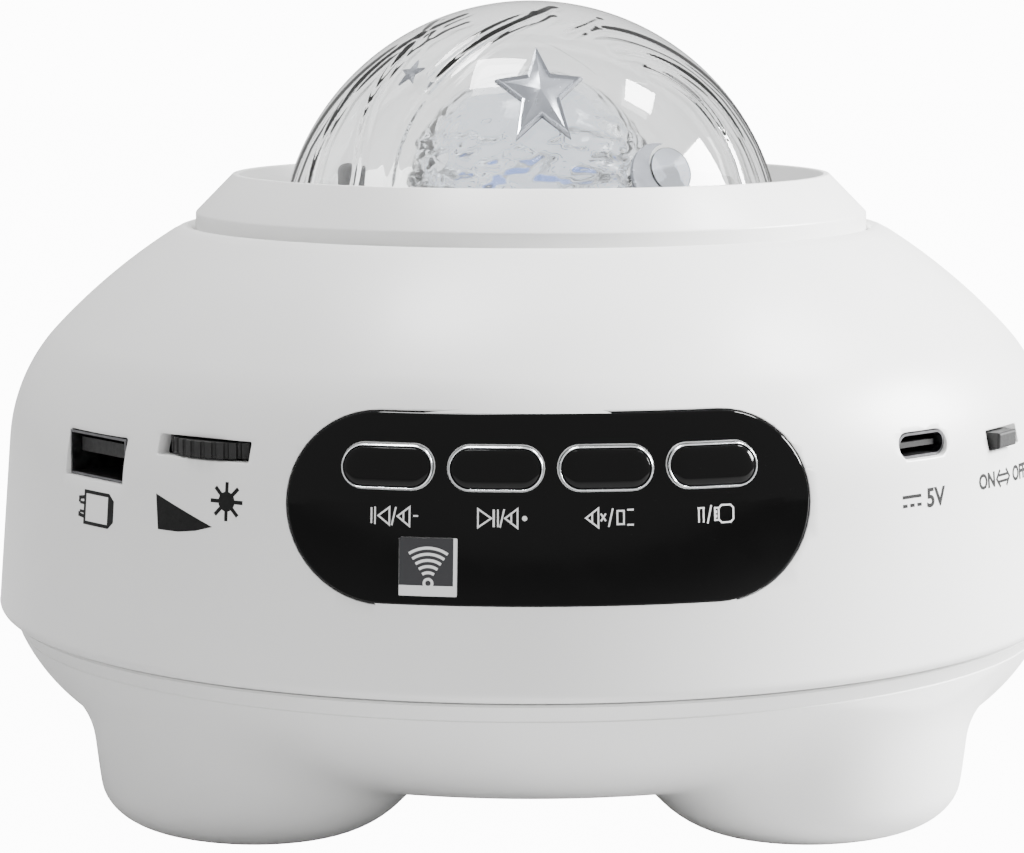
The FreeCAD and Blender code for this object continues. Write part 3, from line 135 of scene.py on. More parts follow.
SQUARE = ((-1, -1), (1, -1), (1, 1), (-1, 1))
SWEEP_HALF = 3.0
GLOW_STRENGTH = 13.6
GLOW_SEEN = 0.92
GLOW_THROUGH = 0.08
sweep_material, tree = new_material("lit_studio_sweep")
paint = add(tree, "ShaderNodeBsdfPrincipled", inputs={
    "Base Color": tinted(tree, object_noise(tree, 40), "B6B6B6", "BCBCBC"), "Roughness": 0.9})
glow = add(tree, "ShaderNodeEmission", inputs={"Strength": GLOW_STRENGTH})
surface(tree, add(tree, "ShaderNodeMixShader", inputs={
    0: by_ray(tree, GLOW_SEEN, GLOW_THROUGH, 0.0), 1: paint.outputs[0], 2: glow.outputs[0]}))
sweep_mesh = bpy.data.meshes.new("sweep")
sweep_mesh.from_pydata([(x * SWEEP_HALF, y * SWEEP_HALF, 0) for x, y in SQUARE], [], [(0, 1, 2, 3)])
sweep_mesh.materials.append(sweep_material)
sweep = bpy.data.objects.new("sweep", sweep_mesh)
scene.collection.objects.link(sweep)

AIR_LIGHT = 0.78
AIR_SEEN = 12.0
AIR_THROUGH = 1.1
world = bpy.data.worlds.new("studio_air")
world.use_nodes = True
background = world.node_tree.nodes["Background"]
background.inputs["Color"].default_value = (1, 1, 1, 1)
strength = by_ray(world.node_tree, AIR_SEEN, AIR_THROUGH, AIR_LIGHT)
world.node_tree.links.new(strength, background.inputs["Strength"])
scene.world = world


OBJECT_MIDDLE = Vector((0, 0, 0.055))


def soft_box(name, width, height, place, watts):
    """An area light that faces the middle of the object."""
    light = bpy.data.lights.new(name, "AREA")
    light.shape = "RECTANGLE"
    light.size = width
    light.size_y = height
    light.energy = watts
    lamp = bpy.data.objects.new(name, light)
    lamp.location = place
    lamp.rotation_euler = (OBJECT_MIDDLE - Vector(place)).to_track_quat("-Z", "Y").to_euler()
    scene.collection.objects.link(lamp)


soft_box("right_box", 0.36, 0.3, (0.85, 0.08, 0.45), 42)
soft_box("upper_right_box", 0.2, 0.15, (0.5, 0.11, 0.79), 8)
soft_box("top_box", 0.26, 0.22, (-0.16, 0.05, 0.9), 7)


# Lower housing. A bowl and four hollow feet, moulded in one shot of white ABS, with a sharp
# parting ridge round the rim, a pierced floor under the speaker and four screw wells.
def bumped(tree, noise, strength, depth_mm):
    """A shader's normal, roughened by noise to a depth."""
    return add(tree, "ShaderNodeBump", inputs={
        "Height": noise, "Strength": strength, "Distance": depth_mm * MM}).outputs[0]


# A clean satin skin with a trace of flow and a fine eroded texture.
white_abs, tree = new_material("moulded_white_abs")
flow = object_noise(tree, 22)
shader(tree, {"Base Color": tinted(tree, flow, "EDEDEC", "F0F0EF"), "IOR": 1.53,
              "Roughness": spread(tree, flow, 0.33, 0.39),
              "Normal": bumped(tree, object_noise(tree, 0.35), 0.05, 0.02)})


def smooth(mesh, sharp):
    """Smooth shading but for edges sharper than an angle in degrees."""
    mesh.polygons.foreach_set("use_smooth", [True] * len(mesh.polygons))
    mesh.set_sharp_from_angle(angle=math.radians(sharp))


def new_object(name, mesh, material, sharp=35):
    """A mesh as an object at the origin, smooth but for its real edges."""
    mesh.name = name
    mesh.materials.clear()
    mesh.materials.append(material)
    smooth(mesh, sharp)
    obj = bpy.data.objects.new(name, mesh)
    scene.collection.objects.link(obj)
    return obj


def grid_mesh(rings, closed_ends=True):
    """A closed skin through rings of points; a ring of one repeated point is a pole."""
    rings = np.asarray(rings, float)
    count, around = rings.shape[:2]
    points = [tuple(p) for ring in rings for p in ring]
    faces = []
    for i in range(count - 1):
        for j in range(around):
            k = (j + 1) % around
            faces.append((i * around + j, i * around + k, (i + 1) * around + k, (i + 1) * around + j))
    mesh = bpy.data.meshes.new("skin")
    mesh.from_pydata(points, [], faces)
    form = bmesh.new()
    form.from_mesh(mesh)
    bmesh.ops.remove_doubles(form, verts=form.verts, dist=1e-7)
    if closed_ends:
        bmesh.ops.holes_fill(form, edges=[e for e in form.edges if e.is_boundary], sides=0)
    bmesh.ops.recalc_face_normals(form, faces=form.faces)
    form.to_mesh(mesh)
    form.free()
    return mesh


def full_turn(steps):
    """Even angles once round."""
    return np.linspace(0, 2 * math.pi, steps, endpoint=False)


def circle(radius, height, turn):
    """Points at angles from the front, at a radius and height, in mm."""
    return np.stack([radius * np.sin(turn), -radius * np.cos(turn), np.full_like(turn, height)], -1)


def turned_mesh(outline, steps):
    """A closed outline of (radius, height) pairs in mm, turned about the Z axis."""
    rings = [circle(r, z, full_turn(steps)) * MM for r, z in list(outline) + [outline[0]]]
    return grid_mesh(rings, closed_ends=False)


def softened(corners, steps=4):
    """A closed outline whose (r, z, radius) corners are rounded where a radius is given."""
    outline = []
    count = len(corners)
    for i, (r, z, radius) in enumerate(corners):
        here = Vector((r, z))
        if radius == 0:
            outline.append((r, z))
            continue
        before = (Vector(corners[i - 1][:2]) - here).normalized()
        after = (Vector(corners[(i + 1) % count][:2]) - here).normalized()
        half = before.angle(after) / 2
        tangent = radius / math.tan(half)
        middle = here + (before + after).normalized() * (radius / math.sin(half))
        start = here + before * tangent - middle
        bend = math.pi - 2 * half
        if before.x * after.y > before.y * after.x:
            bend = -bend
        outline += [tuple(middle + Matrix.Rotation(bend * k / steps, 2) @ start) for k in range(steps + 1)]
    return outline


def plain_mesh(obj):
    """The mesh that an object's modifiers make; the modifiers are then gone."""
    bpy.context.view_layer.update()
    graph = bpy.context.evaluated_depsgraph_get()
    mesh = bpy.data.meshes.new_from_object(obj.evaluated_get(graph))
    obj.modifiers.clear()
    return mesh


def cut(obj, cutters):
    """Takes closed cutter meshes out of an object, all at once."""
    joined = bmesh.new()
    for mesh in cutters:
        joined.from_mesh(mesh)
    cutter_mesh = bpy.data.meshes.new("cutter")
    joined.to_mesh(cutter_mesh)
    joined.free()
    cutter = bpy.data.objects.new("cutter", cutter_mesh)
    scene.collection.objects.link(cutter)
    modifier = obj.modifiers.new("cut", "BOOLEAN")
    modifier.object = cutter
    modifier.operation = "DIFFERENCE"
    modifier.solver = "EXACT"
    modifier.use_self = True
    result = plain_mesh(obj)
    bpy.data.objects.remove(cutter)
    obj.data = result


def rod_mesh(radius, low, high, place=(0, 0), sides=48):
    """An upright rod, in mm."""
    form = bmesh.new()
    middle = Matrix.Translation((place[0] * MM, place[1] * MM, (low + high) / 2 * MM))
    bmesh.ops.create_cone(form, cap_ends=True, segments=sides, radius1=radius * MM, radius2=radius * MM,
                          depth=(high - low) * MM, matrix=middle)
    mesh = bpy.data.meshes.new("rod")
    form.to_mesh(mesh)
    form.free()
    return mesh


def polar(radius, azimuth):
    """X and Y of a point at an azimuth from the front, in mm."""
    turn = math.radians(azimuth)
    return radius * math.sin(turn), -radius * math.cos(turn)


BASE_Z = 7.0
BASE_FLAT_R = 50.0
RIDGE_R = 72.3
RIDGE_Z = 21.3
SEAM_Z = 23.7
RIM_R = 73.5
FLOOR_WALL = 2.2
FOOT_Z = np.array([0.5, 6.0, 12.0, 17.0, 21.5])
FOOT_CENTRE = np.array([53.0, 51.2, 48.0, 45.5, 43.0])
FOOT_HALF_IN = np.array([17.0, 20.0, 23.6, 26.4, 29.2])
FOOT_HALF_ACROSS = np.array([19.5, 22.0, 24.6, 28.0, 33.0])
FOOT_ROUND = 5.0
FOOT_BLEND = 3.0


def smooth_least(a, b, width):
    """The lesser of two distances, blended where they are close."""
    share = np.clip(0.5 + 0.5 * (b - a) / width, 0, 1)
    return b * (1 - share) + a * share - width * share * (1 - share)


def bowl_distance(r, z):
    """Signed distance to the bowl, negative inside."""
    arc_r = ((RIDGE_R - BASE_FLAT_R) ** 2 + (RIDGE_Z - BASE_Z) ** 2) / (2 * (RIDGE_Z - BASE_Z))
    beyond = np.maximum(r - BASE_FLAT_R, 0)
    return np.hypot(beyond, np.minimum(z - BASE_Z - arc_r, 0)) - arc_r


def foot_distance(r, turn, z):
    """Signed distance to the nearest foot: an oval column that leans in, with a rounded sole."""
    from_foot = turn % (math.pi / 2) - math.pi / 4
    along = r * np.cos(from_foot)
    across = r * np.sin(from_foot)
    level = np.clip(z, FOOT_Z[0], FOOT_Z[-1])
    fits = [np.polynomial.Polynomial.fit(FOOT_Z, values, 3) for values in
            (FOOT_CENTRE, FOOT_HALF_IN, FOOT_HALF_ACROSS)]
    centre, half_in, half_across = [fit(level) for fit in fits]
    ratio = np.hypot((along - centre) / half_in, across / half_across)
    side = (ratio - 1) * np.minimum(half_in, half_across)
    under = FOOT_Z[0] - z
    rounded = np.hypot(np.maximum(side + FOOT_ROUND, 0), np.maximum(under + FOOT_ROUND, 0)) - FOOT_ROUND
    return np.where((side + FOOT_ROUND > 0) & (under + FOOT_ROUND > 0), rounded, np.maximum(side, under))


def base_skin():
    """Rings from the ridge down over bowl and feet to the pole, found along rays from a hub."""
    hub_r, hub_z = 45.0, 22.2
    turns = full_turn(384)
    first = math.atan2(RIDGE_Z - hub_z, RIDGE_R - hub_r)
    last = math.atan2(BASE_Z - hub_z, -hub_r)
    angles = np.linspace(first, last, 130)
    turn, angle = np.meshgrid(turns, angles)
    near = np.full_like(turn, 5.0)
    far = np.full_like(turn, 60.0)
    for _ in range(36):
        reach = (near + far) / 2
        r = hub_r + reach * np.cos(angle)
        z = hub_z + reach * np.sin(angle)
        flip = np.where(r < 0, math.pi, 0)
        inside = smooth_least(bowl_distance(np.abs(r), z), foot_distance(np.abs(r), turn + flip, z),
                              FOOT_BLEND) < 0
        near = np.where(inside, reach, near)
        far = np.where(inside, far, reach)
    r = hub_r + near * np.cos(angle)
    z = hub_z + near * np.sin(angle)
    r[0, :] = RIDGE_R
    z[0, :] = RIDGE_Z
    r[-1, :] = 0
    z[-1, :] = BASE_Z
    r = np.minimum(r, RIDGE_R)
    return circle(r, z, turn) * MM, turns


TONGUE_OUT_R = 72.1
TONGUE_IN_R = 70.8
TONGUE_TOP = 26.6
RIM_BREAK = 0.25
FLOOR_TOP = SEAM_Z - 1
skin_rings, turns = base_skin()
rim = [(0, FLOOR_TOP), (TONGUE_IN_R, FLOOR_TOP), (TONGUE_IN_R, TONGUE_TOP), (TONGUE_OUT_R, TONGUE_TOP),
       (TONGUE_OUT_R, SEAM_Z), (RIM_R - RIM_BREAK, SEAM_Z), (RIM_R, SEAM_Z - RIM_BREAK),
       (RIDGE_R + 0.05, RIDGE_Z + 0.4), (RIDGE_R - 0.12, RIDGE_Z + 0.15)]
rim_rings = np.array([circle(r, z, turns) * MM for r, z in rim])
lower_mesh = grid_mesh(np.concatenate([rim_rings, skin_rings]))
lower = new_object("lower_housing_skin", lower_mesh, white_abs)

SLOT_RINGS = ((6.0, 4), (10.5, 6), (15.0, 8))
SLOT_HALF = 0.9
SLOT_SHARE = 0.7


def arc_slot(radius, start, sweep_degrees):
    """A curved slot cutter with square ends, through the floor."""
    inner, outer = radius - SLOT_HALF, radius + SLOT_HALF
    low, high = BASE_Z - 1, BASE_Z + FLOOR_WALL + 1
    corners = [(inner, low), (outer, low), (outer, high), (inner, high)]
    return grid_mesh([np.array([(*polar(r, azimuth), z) for r, z in corners]) * MM
                      for azimuth in np.linspace(start, start + sweep_degrees, 14)])


SPEAKER_R = 24
SCREW_PLACE_R = 50.0
WELL_R = 3.5
WELL_TOP = 17.0
PAD_PLACE_R = 53.0
PAD_R = 9.0
PAD_T = 1.3
PAD_GAP = 0.1
lower_cuts = [rod_mesh(SPEAKER_R, BASE_Z + FLOOR_WALL, SEAM_Z - 2, sides=96)]
for radius, count in SLOT_RINGS:
    for k in range(count):
        lower_cuts.append(arc_slot(radius, k * 360 / count, 360 / count * SLOT_SHARE))
for quarter in range(4):
    lower_cuts.append(rod_mesh(WELL_R, BASE_Z - 2, WELL_TOP, polar(SCREW_PLACE_R, 90 * quarter)))
    lower_cuts.append(rod_mesh(PAD_R + PAD_GAP, -1, PAD_T, polar(PAD_PLACE_R, 45 + 90 * quarter), 96))
cut(lower, lower_cuts)
smooth(lower.data, 35)
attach(lower, "housing")
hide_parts("lower_housing")


# Foot pads and housing screws. Four soft grey rubber discs stuck into the soles, dished in the
# middle, and four zinc-plated pan-head screws that close the two shells from the wells below.
def plain_stuff(name, first, second, grain_mm, roughness, metallic=0.0, bump_mm=0.0):
    """A finish with two near shades, uneven gloss, and a bump where the real one has grit."""
    material, tree = new_material(name)
    grain = object_noise(tree, grain_mm)
    inputs = {"Base Color": tinted(tree, grain, first, second), "Metallic": metallic,
              "Roughness": spread(tree, grain, roughness - 0.05, roughness + 0.08)}
    if bump_mm:
        inputs["Normal"] = bumped(tree, grain, 0.5, bump_mm)
    shader(tree, inputs)
    return material


def repeat_round(obj, values):
    """Repeats an object's mesh round the Z axis with Geometry Nodes, then keeps the plain mesh."""
    tree = bpy.data.node_groups.new("repeat_round", "GeometryNodeTree")
    given = {}
    for label, kind in (("Geometry", "Geometry"), ("Count", "Int"), ("Ring radius", "Float"),
                        ("First turn", "Float"), ("Own turn", "Float"), ("Material", "Material")):
        given[label] = tree.interface.new_socket(label, in_out="INPUT", socket_type="NodeSocket" + kind)
    tree.interface.new_socket("Geometry", in_out="OUTPUT", socket_type="NodeSocketGeometry")
    entry = add(tree, "NodeGroupInput").outputs
    points = add(tree, "GeometryNodeMeshCircle", inputs={
        "Vertices": entry["Count"], "Radius": entry["Ring radius"]})
    start = add(tree, "FunctionNodeAxisAngleToRotation", inputs={
        "Axis": (0, 0, 1), "Angle": entry["First turn"]})
    places = add(tree, "GeometryNodeTransform", inputs={
        "Geometry": points.outputs["Mesh"], "Rotation": start.outputs["Rotation"]})
    chance = add(tree, "FunctionNodeRandomValue", {"data_type": "FLOAT"}, {3: entry["Own turn"], "Seed": 5})
    spin = add(tree, "FunctionNodeAxisAngleToRotation", inputs={
        "Axis": (0, 0, 1), "Angle": chance.outputs[1]})
    copies = add(tree, "GeometryNodeInstanceOnPoints", inputs={
        "Points": places.outputs["Geometry"], "Instance": entry["Geometry"],
        "Rotation": spin.outputs["Rotation"]})
    real = add(tree, "GeometryNodeRealizeInstances", inputs={"Geometry": copies.outputs["Instances"]})
    dressed = add(tree, "GeometryNodeSetMaterial", inputs={
        "Geometry": real.outputs["Geometry"], "Material": entry["Material"]})
    add(tree, "NodeGroupOutput", inputs={"Geometry": dressed.outputs["Geometry"]})
    modifier = obj.modifiers.new("repeat", "NODES")
    modifier.node_group = tree
    for label, value in values.items():
        modifier[given[label].identifier] = value
    obj.data = plain_mesh(obj)


DISH_R = 4.2
DISH_DEEP = 0.3
pad_rubber = plain_stuff("soft_grey_rubber", "4A4A4C", "58585A", 0.7, 0.8, 0, 0.05)
pad_corners = [(0, DISH_DEEP, 0), (DISH_R, DISH_DEEP, 0.15), (DISH_R + 0.5, 0, 0.2), (PAD_R, 0, 0.4),
               (PAD_R, PAD_T, 0), (0, PAD_T, 0)]
pads = new_object("foot_pad_discs", turned_mesh(softened(pad_corners), 72), pad_rubber)
repeat_round(pads, {"Count": 4, "Ring radius": PAD_PLACE_R * MM, "First turn": math.radians(45),
                    "Own turn": 0.0, "Material": pad_rubber})
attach(pads, "housing")
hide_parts("foot_pads")

HEAD_R = 2.7
HEAD_H = 1.9
SHANK_R = 1.25
SHANK_LENGTH = 15.0
RECESS_LONG = 1.62
RECESS_WIDE = 0.38
zinc_steel = plain_stuff("zinc_plated_steel", "9A9CA0", "B4B6BA", 0.8, 0.35, 1.0)
head_low = WELL_TOP - HEAD_H
shank_top = WELL_TOP + SHANK_LENGTH
screw_corners = [(0, head_low, 0), (HEAD_R, head_low, 0.85), (HEAD_R, WELL_TOP, 0), (SHANK_R, WELL_TOP, 0),
                 (SHANK_R, shank_top, 0.3), (0, shank_top, 0)]
screws = new_object("housing_screw_set", turned_mesh(softened(screw_corners), 48), zinc_steel)
recesses = []
for half_x, half_y in ((RECESS_LONG, RECESS_WIDE), (RECESS_WIDE, RECESS_LONG)):
    recesses.append(grid_mesh([[(x * half_x * MM, y * half_y * MM, z * MM) for x, y in SQUARE]
                               for z in (head_low - 1, head_low + HEAD_H / 2)]))
cut(screws, recesses)
repeat_round(screws, {"Count": 4, "Ring radius": SCREW_PLACE_R * MM, "First turn": 0.0,
                      "Own turn": math.radians(360), "Material": zinc_steel})
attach(screws, "housing")
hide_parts("housing_screws")


# Upper housing. A saucer-shaped shell of the same white ABS: a wall that leans in, a round
# shoulder and a flatter crown, pierced for the panel, the sockets, the dimmer and the switch.
BODY_R = 75.0
BODY_Z = 26.0
WALL = 2.2
TAPER = math.radians(4.58)
SHOULDER_R = 24.36
SHOULDER_Z = 48.10
CROWN_R = 83.3
CROWN_START = math.radians(43.32)
MOUTH_R = 47.35
LIP_R = 50.0
wall_top_r = BODY_R - (SHOULDER_Z - BODY_Z) * math.tan(TAPER)
shoulder_x = wall_top_r - SHOULDER_R * math.cos(TAPER)
shoulder_c = SHOULDER_Z - SHOULDER_R * math.sin(TAPER)
crown_x = shoulder_x - (CROWN_R - SHOULDER_R) * math.cos(CROWN_START)
crown_c = shoulder_c - (CROWN_R - SHOULDER_R) * math.sin(CROWN_START)
SEAM_GAP = 0.35
SEAM_ROUND = 1.3


def wall_r(z, depth=0.0):
    """Distance from the axis to the wall at a height, at a depth under the outside."""
    if z < SHOULDER_Z:
        return BODY_R - (z - BODY_Z) * math.tan(TAPER) - depth / math.cos(TAPER)
    return shoulder_x + math.sqrt((SHOULDER_R - depth) ** 2 - (z - shoulder_c) ** 2)


def skin_arcs(depth, low):
    """(radius, height) pairs up the skin at a depth, from a height to the mouth."""
    side = SHOULDER_R - depth
    top = CROWN_R - depth
    pairs = [(wall_r(z, depth), z) for z in np.linspace(low, SHOULDER_Z, 9)[:-1]]
    for angle in np.linspace(TAPER, CROWN_START, 26):
        pairs.append((shoulder_x + side * math.cos(angle), shoulder_c + side * math.sin(angle)))
    mouth_angle = math.acos((MOUTH_R - crown_x) / top)
    for angle in np.linspace(CROWN_START, mouth_angle, 22)[1:]:
        pairs.append((crown_x + top * math.cos(angle), crown_c + top * math.sin(angle)))
    return pairs


def upper_outline():
    """The whole section of the shell: seam edge, outside, mouth lip, and inside back down."""
    low = SEAM_Z + SEAM_GAP
    edge = [(BODY_R - SEAM_ROUND * (1 - math.sin(a)) + 0.1, low + SEAM_ROUND * (1 - math.cos(a)))
            for a in np.linspace(0, math.pi / 2 * 0.94, 6)]
    outside = [p for p in skin_arcs(0, low + SEAM_ROUND + 0.3) if p[0] > LIP_R or p[1] < BODY_Z]
    lip = [(LIP_R - 0.1, 76.48), (49.3, 76.82), (48.7, 77.02), (48.2, 77.03), (47.8, 76.88), (47.5, 76.58),
           (MOUTH_R, 76.1), (MOUTH_R, 74.5)]
    return edge + outside + lip + skin_arcs(WALL, low)[::-1]


upper = new_object("upper_housing_skin", turned_mesh(upper_outline(), 288), white_abs)


def aim_matrix(azimuth):
    """Turns a piece made at the front to its azimuth."""
    return Matrix.Rotation(math.radians(azimuth), 4, "Z")


def on_wall(x, z, depth, azimuth):
    """A point of a wall-mounted piece: x across and z up its face, depth straight into the wall."""
    r = wall_r(z)
    y = -(math.sqrt(max(r * r - x * x, 0)) - depth)
    return aim_matrix(azimuth) @ Vector((x, y, z)) * MM


def arc_points(x, z, radius, start, end, steps):
    """Points along an arc about a middle, between two angles in degrees."""
    return [(x + radius * math.cos(math.radians(a)), z + radius * math.sin(math.radians(a)))
            for a in np.linspace(start, end, steps)]


def stadium(width, height, z, steps=14):
    """A round-ended outline of (x, z) pairs, as a function of its inset."""
    def outline(inset):
        half = height / 2 - inset
        reach = width / 2 - height / 2
        across = max(2, int(reach / 1.5))
        pairs = []
        for side in (1, -1):
            pairs += arc_points(side * reach, z, half, -90 * side, 180 - 90 * side, steps + 1)
            pairs += [(side * (reach - 2 * reach * k / across), z + side * half) for k in range(1, across)]
        return pairs

    return outline


def rectangle(width, height, z, corner=0.3):
    """An outline of (x, z) pairs with four small rounded corners, as a function of its inset."""
    def outline(inset):
        rounding = max(corner - inset, 0.02)
        half_w = width / 2 - inset - rounding
        half_h = height / 2 - inset - rounding
        corners = []
        for start, sx, sz in ((-90, 1, -1), (0, 1, 1), (90, -1, 1), (180, -1, -1)):
            corners += arc_points(sx * half_w, z + sz * half_h, rounding, start, start + 90, 5)
        pairs = []
        for k, here in enumerate(corners):
            there = corners[(k + 1) % 20]
            side = {4: height, 9: width, 14: height, 19: width}.get(k, 0)
            pieces = max(1, int(side / 1.2))
            pairs += [tuple(a + (b - a) * i / pieces for a, b in zip(here, there)) for i in range(pieces)]
        return pairs

    return outline


def wall_solid(outline, rings, azimuth, closed_ends=True):
    """A closed solid in the wall; rings are (inset, depth) steps from the front to the back."""
    levels = [[on_wall(x, z, depth, azimuth) for x, z in outline(inset)] for inset, depth in rings]
    return grid_mesh(levels, closed_ends)


BREAK = 0.22
DEEP = 9.0


def wall_cutter(outline, azimuth, deep=DEEP):
    """A cutter that also breaks the opening's outer edge."""
    rings = [(-BREAK - 1.0, -1.0), (-BREAK, -0.01), (-BREAK * 0.3, BREAK * 0.3), (0, BREAK), (0, deep)]
    return wall_solid(outline, rings, azimuth)


PANEL_ANGLE = 1.9
PANEL_W = 63.8
PANEL_H = 22.9
PANEL_Z = 47.35
PANEL_T = 1.0
POCKET_GAP = 0.1
BUTTON_PITCH = 10.45
BUTTON_ANGLES = [PANEL_ANGLE + (i - 1.5) * BUTTON_PITCH for i in range(4)]
BUTTON_W = 11.5
BUTTON_H = 5.3
BUTTON_Z = 52.5
WINDOW_ANGLE = -9.65
WINDOW_W = 7.1
WINDOW_H = 7.0
WINDOW_Z = 40.6
WINDOW_LIP = 0.8
GAP = 0.15
# Outline and azimuth of the openings for the memory stick, the charging plug, the dimmer wheel
# and the power switch.
OPENINGS = ((rectangle(13.3, 5.9, 50.25), -50.1), (stadium(9.14, 3.36, 52.68), 43.1),
            (rectangle(14.6, 2.6, 53.1), -34.3), (rectangle(9.3, 2.5, 51.7), 57.9))
pocket = stadium(PANEL_W + 2 * POCKET_GAP, PANEL_H + 2 * POCKET_GAP, PANEL_Z, 24)
button_hole = stadium(BUTTON_W + 2 * GAP, BUTTON_H + 2 * GAP, BUTTON_Z)
window_hole = rectangle(WINDOW_W - 2 * WINDOW_LIP, WINDOW_H - 2 * WINDOW_LIP, WINDOW_Z)
from_pocket = [(0, 0.5), (0, DEEP)]
upper_cuts = [wall_cutter(pocket, PANEL_ANGLE, PANEL_T)]
upper_cuts += [wall_cutter(outline, azimuth) for outline, azimuth in OPENINGS]
upper_cuts.append(wall_solid(window_hole, from_pocket, WINDOW_ANGLE))
upper_cuts += [wall_solid(button_hole, from_pocket, angle) for angle in BUTTON_ANGLES]
cut(upper, upper_cuts)


def read(items, attribute, width, kind=float):
    """An attribute of all items as rows of numbers."""
    values = np.zeros(len(items) * width, kind)
    items.foreach_get(attribute, values)
    return values.reshape(-1, width)


def shade_as_turned(obj, depth=0.0):
    """Gives the outer skin the exact normals of its turned form, so openings don't dent its shine."""
    mesh = obj.data
    smooth(mesh, 30)
    normals = read(mesh.corner_normals, "vector", 3)
    corner = read(mesh.loops, "vertex_index", 1, int)[:, 0]
    points = read(mesh.vertices, "co", 3)[corner] / MM
    r = np.hypot(points[:, 0], points[:, 1])
    z = points[:, 2]
    shoulder_lean = np.arctan2(z - shoulder_c, r - shoulder_x)
    above = z >= SHOULDER_Z
    places = [above & (shoulder_lean <= CROWN_START), above]
    lean = np.select(places, [shoulder_lean, np.arctan2(z - crown_c, r - crown_x)], TAPER)
    off = np.abs(np.select(places, [np.hypot(r - shoulder_x, z - shoulder_c) - SHOULDER_R - depth,
                                    np.hypot(r - crown_x, z - crown_c) - CROWN_R - depth],
                           r - (BODY_R - (z - BODY_Z) * math.tan(TAPER) + depth)))
    exact = np.stack([points[:, 0] / r * np.cos(lean), points[:, 1] / r * np.cos(lean), np.sin(lean)], 1)
    agree = np.sum(exact * normals, 1) > math.cos(math.radians(12))
    on_skin = (off < 0.03) & agree & (z > SEAM_Z + SEAM_GAP + SEAM_ROUND + 0.2) & (r > MOUTH_R + 0.5)
    normals[on_skin] = exact[on_skin]
    mesh.normals_split_custom_set([tuple(n) for n in normals])


shade_as_turned(upper)
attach(upper, "housing")
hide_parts("upper_housing")


# Crown ring. A separate white ring that drops into the mouth of the shell: a short wall, a
# bevel up to a thin lip, and a dish inside that falls to the foot of the dome.
DOME_R = 35.5
DOME_Z = 72.6
RING_R = 47.07
RING_WALL = 2.0
RING_LOW = 72.0
RING_TOP = 84.14
TOP_OUT_R = 41.84
TOP_IN_R = 40.94
DISH_Z = 75.7
DISH_LOW = 73.75
dish_in = math.sqrt(DOME_R ** 2 - (DISH_Z - DOME_Z) ** 2) + 0.3
ring_corners = [(RING_R, RING_LOW, 0), (RING_R, 78.84, 0.5), (TOP_OUT_R, RING_TOP, 0.3),
                (TOP_IN_R, RING_TOP, 0.3), (39.4, 76.6, 0.8), (dish_in, DISH_Z, 0.25),
                (dish_in, DISH_LOW, 0), (40.4, DISH_LOW, 0), (40.4, 75.6, 0), (42.0, 81.5, 0),
                (RING_R - RING_WALL, 77.8, 0), (RING_R - RING_WALL, RING_LOW, 0)]
crown = new_object("crown_ring_skin", turned_mesh(softened(ring_corners), 256), white_abs)
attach(crown, "housing")
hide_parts("crown_ring")


# Dome lens. Clear polycarbonate from a polished mould, with wave-like grooves that sweep up
# its sides, a big and a small star, and a moon.
def clear_plastic(name, tint, roughness, ior):
    """Polished clear plastic: it bends what lies behind it and mirrors the room faintly."""
    material, tree = new_material(name)
    shader(tree, {"Base Color": linear(tint), "Roughness": roughness, "IOR": ior,
                  "Transmission Weight": 1.0})
    return material


clear_dome = clear_plastic("clear_polycarbonate", "FCFDFD", 0.0, 1.585)
DOME_WALL = 2.4
LEDGE_TOP = 72.0
FLANGE_R = 39.0
FLANGE_T = 1.6

# Each groove runs through (azimuth, height in degrees above the equator) places, with its
# half width in mm and its depth in mm, down to nothing at both ends.
GROOVES = (
    (((-60, 4), (-62, 18), (-66, 33), (-63, 45), (-60, 58), (-50, 70)), 0.55, 0.18),
    (((-76, 4), (-77, 20), (-74, 36), (-66, 54)), 0.8, 0.16),
    (((-45, 14), (-46, 26), (-51, 39), (-52, 47), (-56, 58), (-68, 66)), 0.5, 0.2),
    (((-31, 42), (-26, 51), (-18, 60), (-4, 68), (20, 76)), 0.55, 0.32),
    (((-34, 46), (-28, 55), (-18, 64), (0, 72)), 0.5, 0.2),
    (((-33, 12), (-34, 30), (-30, 42)), 0.6, 0.1),
    (((40, 48), (50, 44), (56, 36), (58, 24), (57, 4)), 0.5, 0.22),
    (((34, 54), (52, 50), (64, 40), (68, 25), (69, 4)), 0.55, 0.2),
    (((30, 62), (58, 58), (76, 42), (80, 22), (80, 4)), 0.7, 0.17),
    (((16, 61), (28, 64), (45, 68)), 0.5, 0.12),
)
FAR_SIDE_SHARE = 0.25


def smooth_path(places):
    """Points on the unit ball along a smooth path through (azimuth, elevation) places."""
    last = len(places) - 1
    along = np.linspace(0, last, 60)
    azimuth, height = [np.radians(np.polynomial.Polynomial.fit(range(last + 1), values, min(4, last))(along))
                       for values in zip(*places)]
    return circle(np.cos(height), np.sin(height), azimuth)


def groove_depth(directions):
    """Depth of all grooves at unit directions, in mm."""
    depth = np.zeros(len(directions))
    for turn in (0, 180):
        spin = np.array(aim_matrix(turn).to_3x3())
        for places, half_width, deepest in GROOVES:
            path = smooth_path(places) @ spin.T
            fade = np.sin(np.pi * np.linspace(0.06, 0.94, len(path))) ** 0.6
            closeness = directions @ path.T
            nearest = closeness.argmax(1)
            away = np.arccos(np.clip(closeness.max(1), -1, 1)) * DOME_R
            beside = away - 1.9 * half_width
            profile = np.exp(-(away / half_width) ** 2) - 0.45 * np.exp(-(beside / half_width) ** 2)
            depth += deepest * fade[nearest] * profile * (1.0 if turn == 0 else FAR_SIDE_SHARE)
    return depth


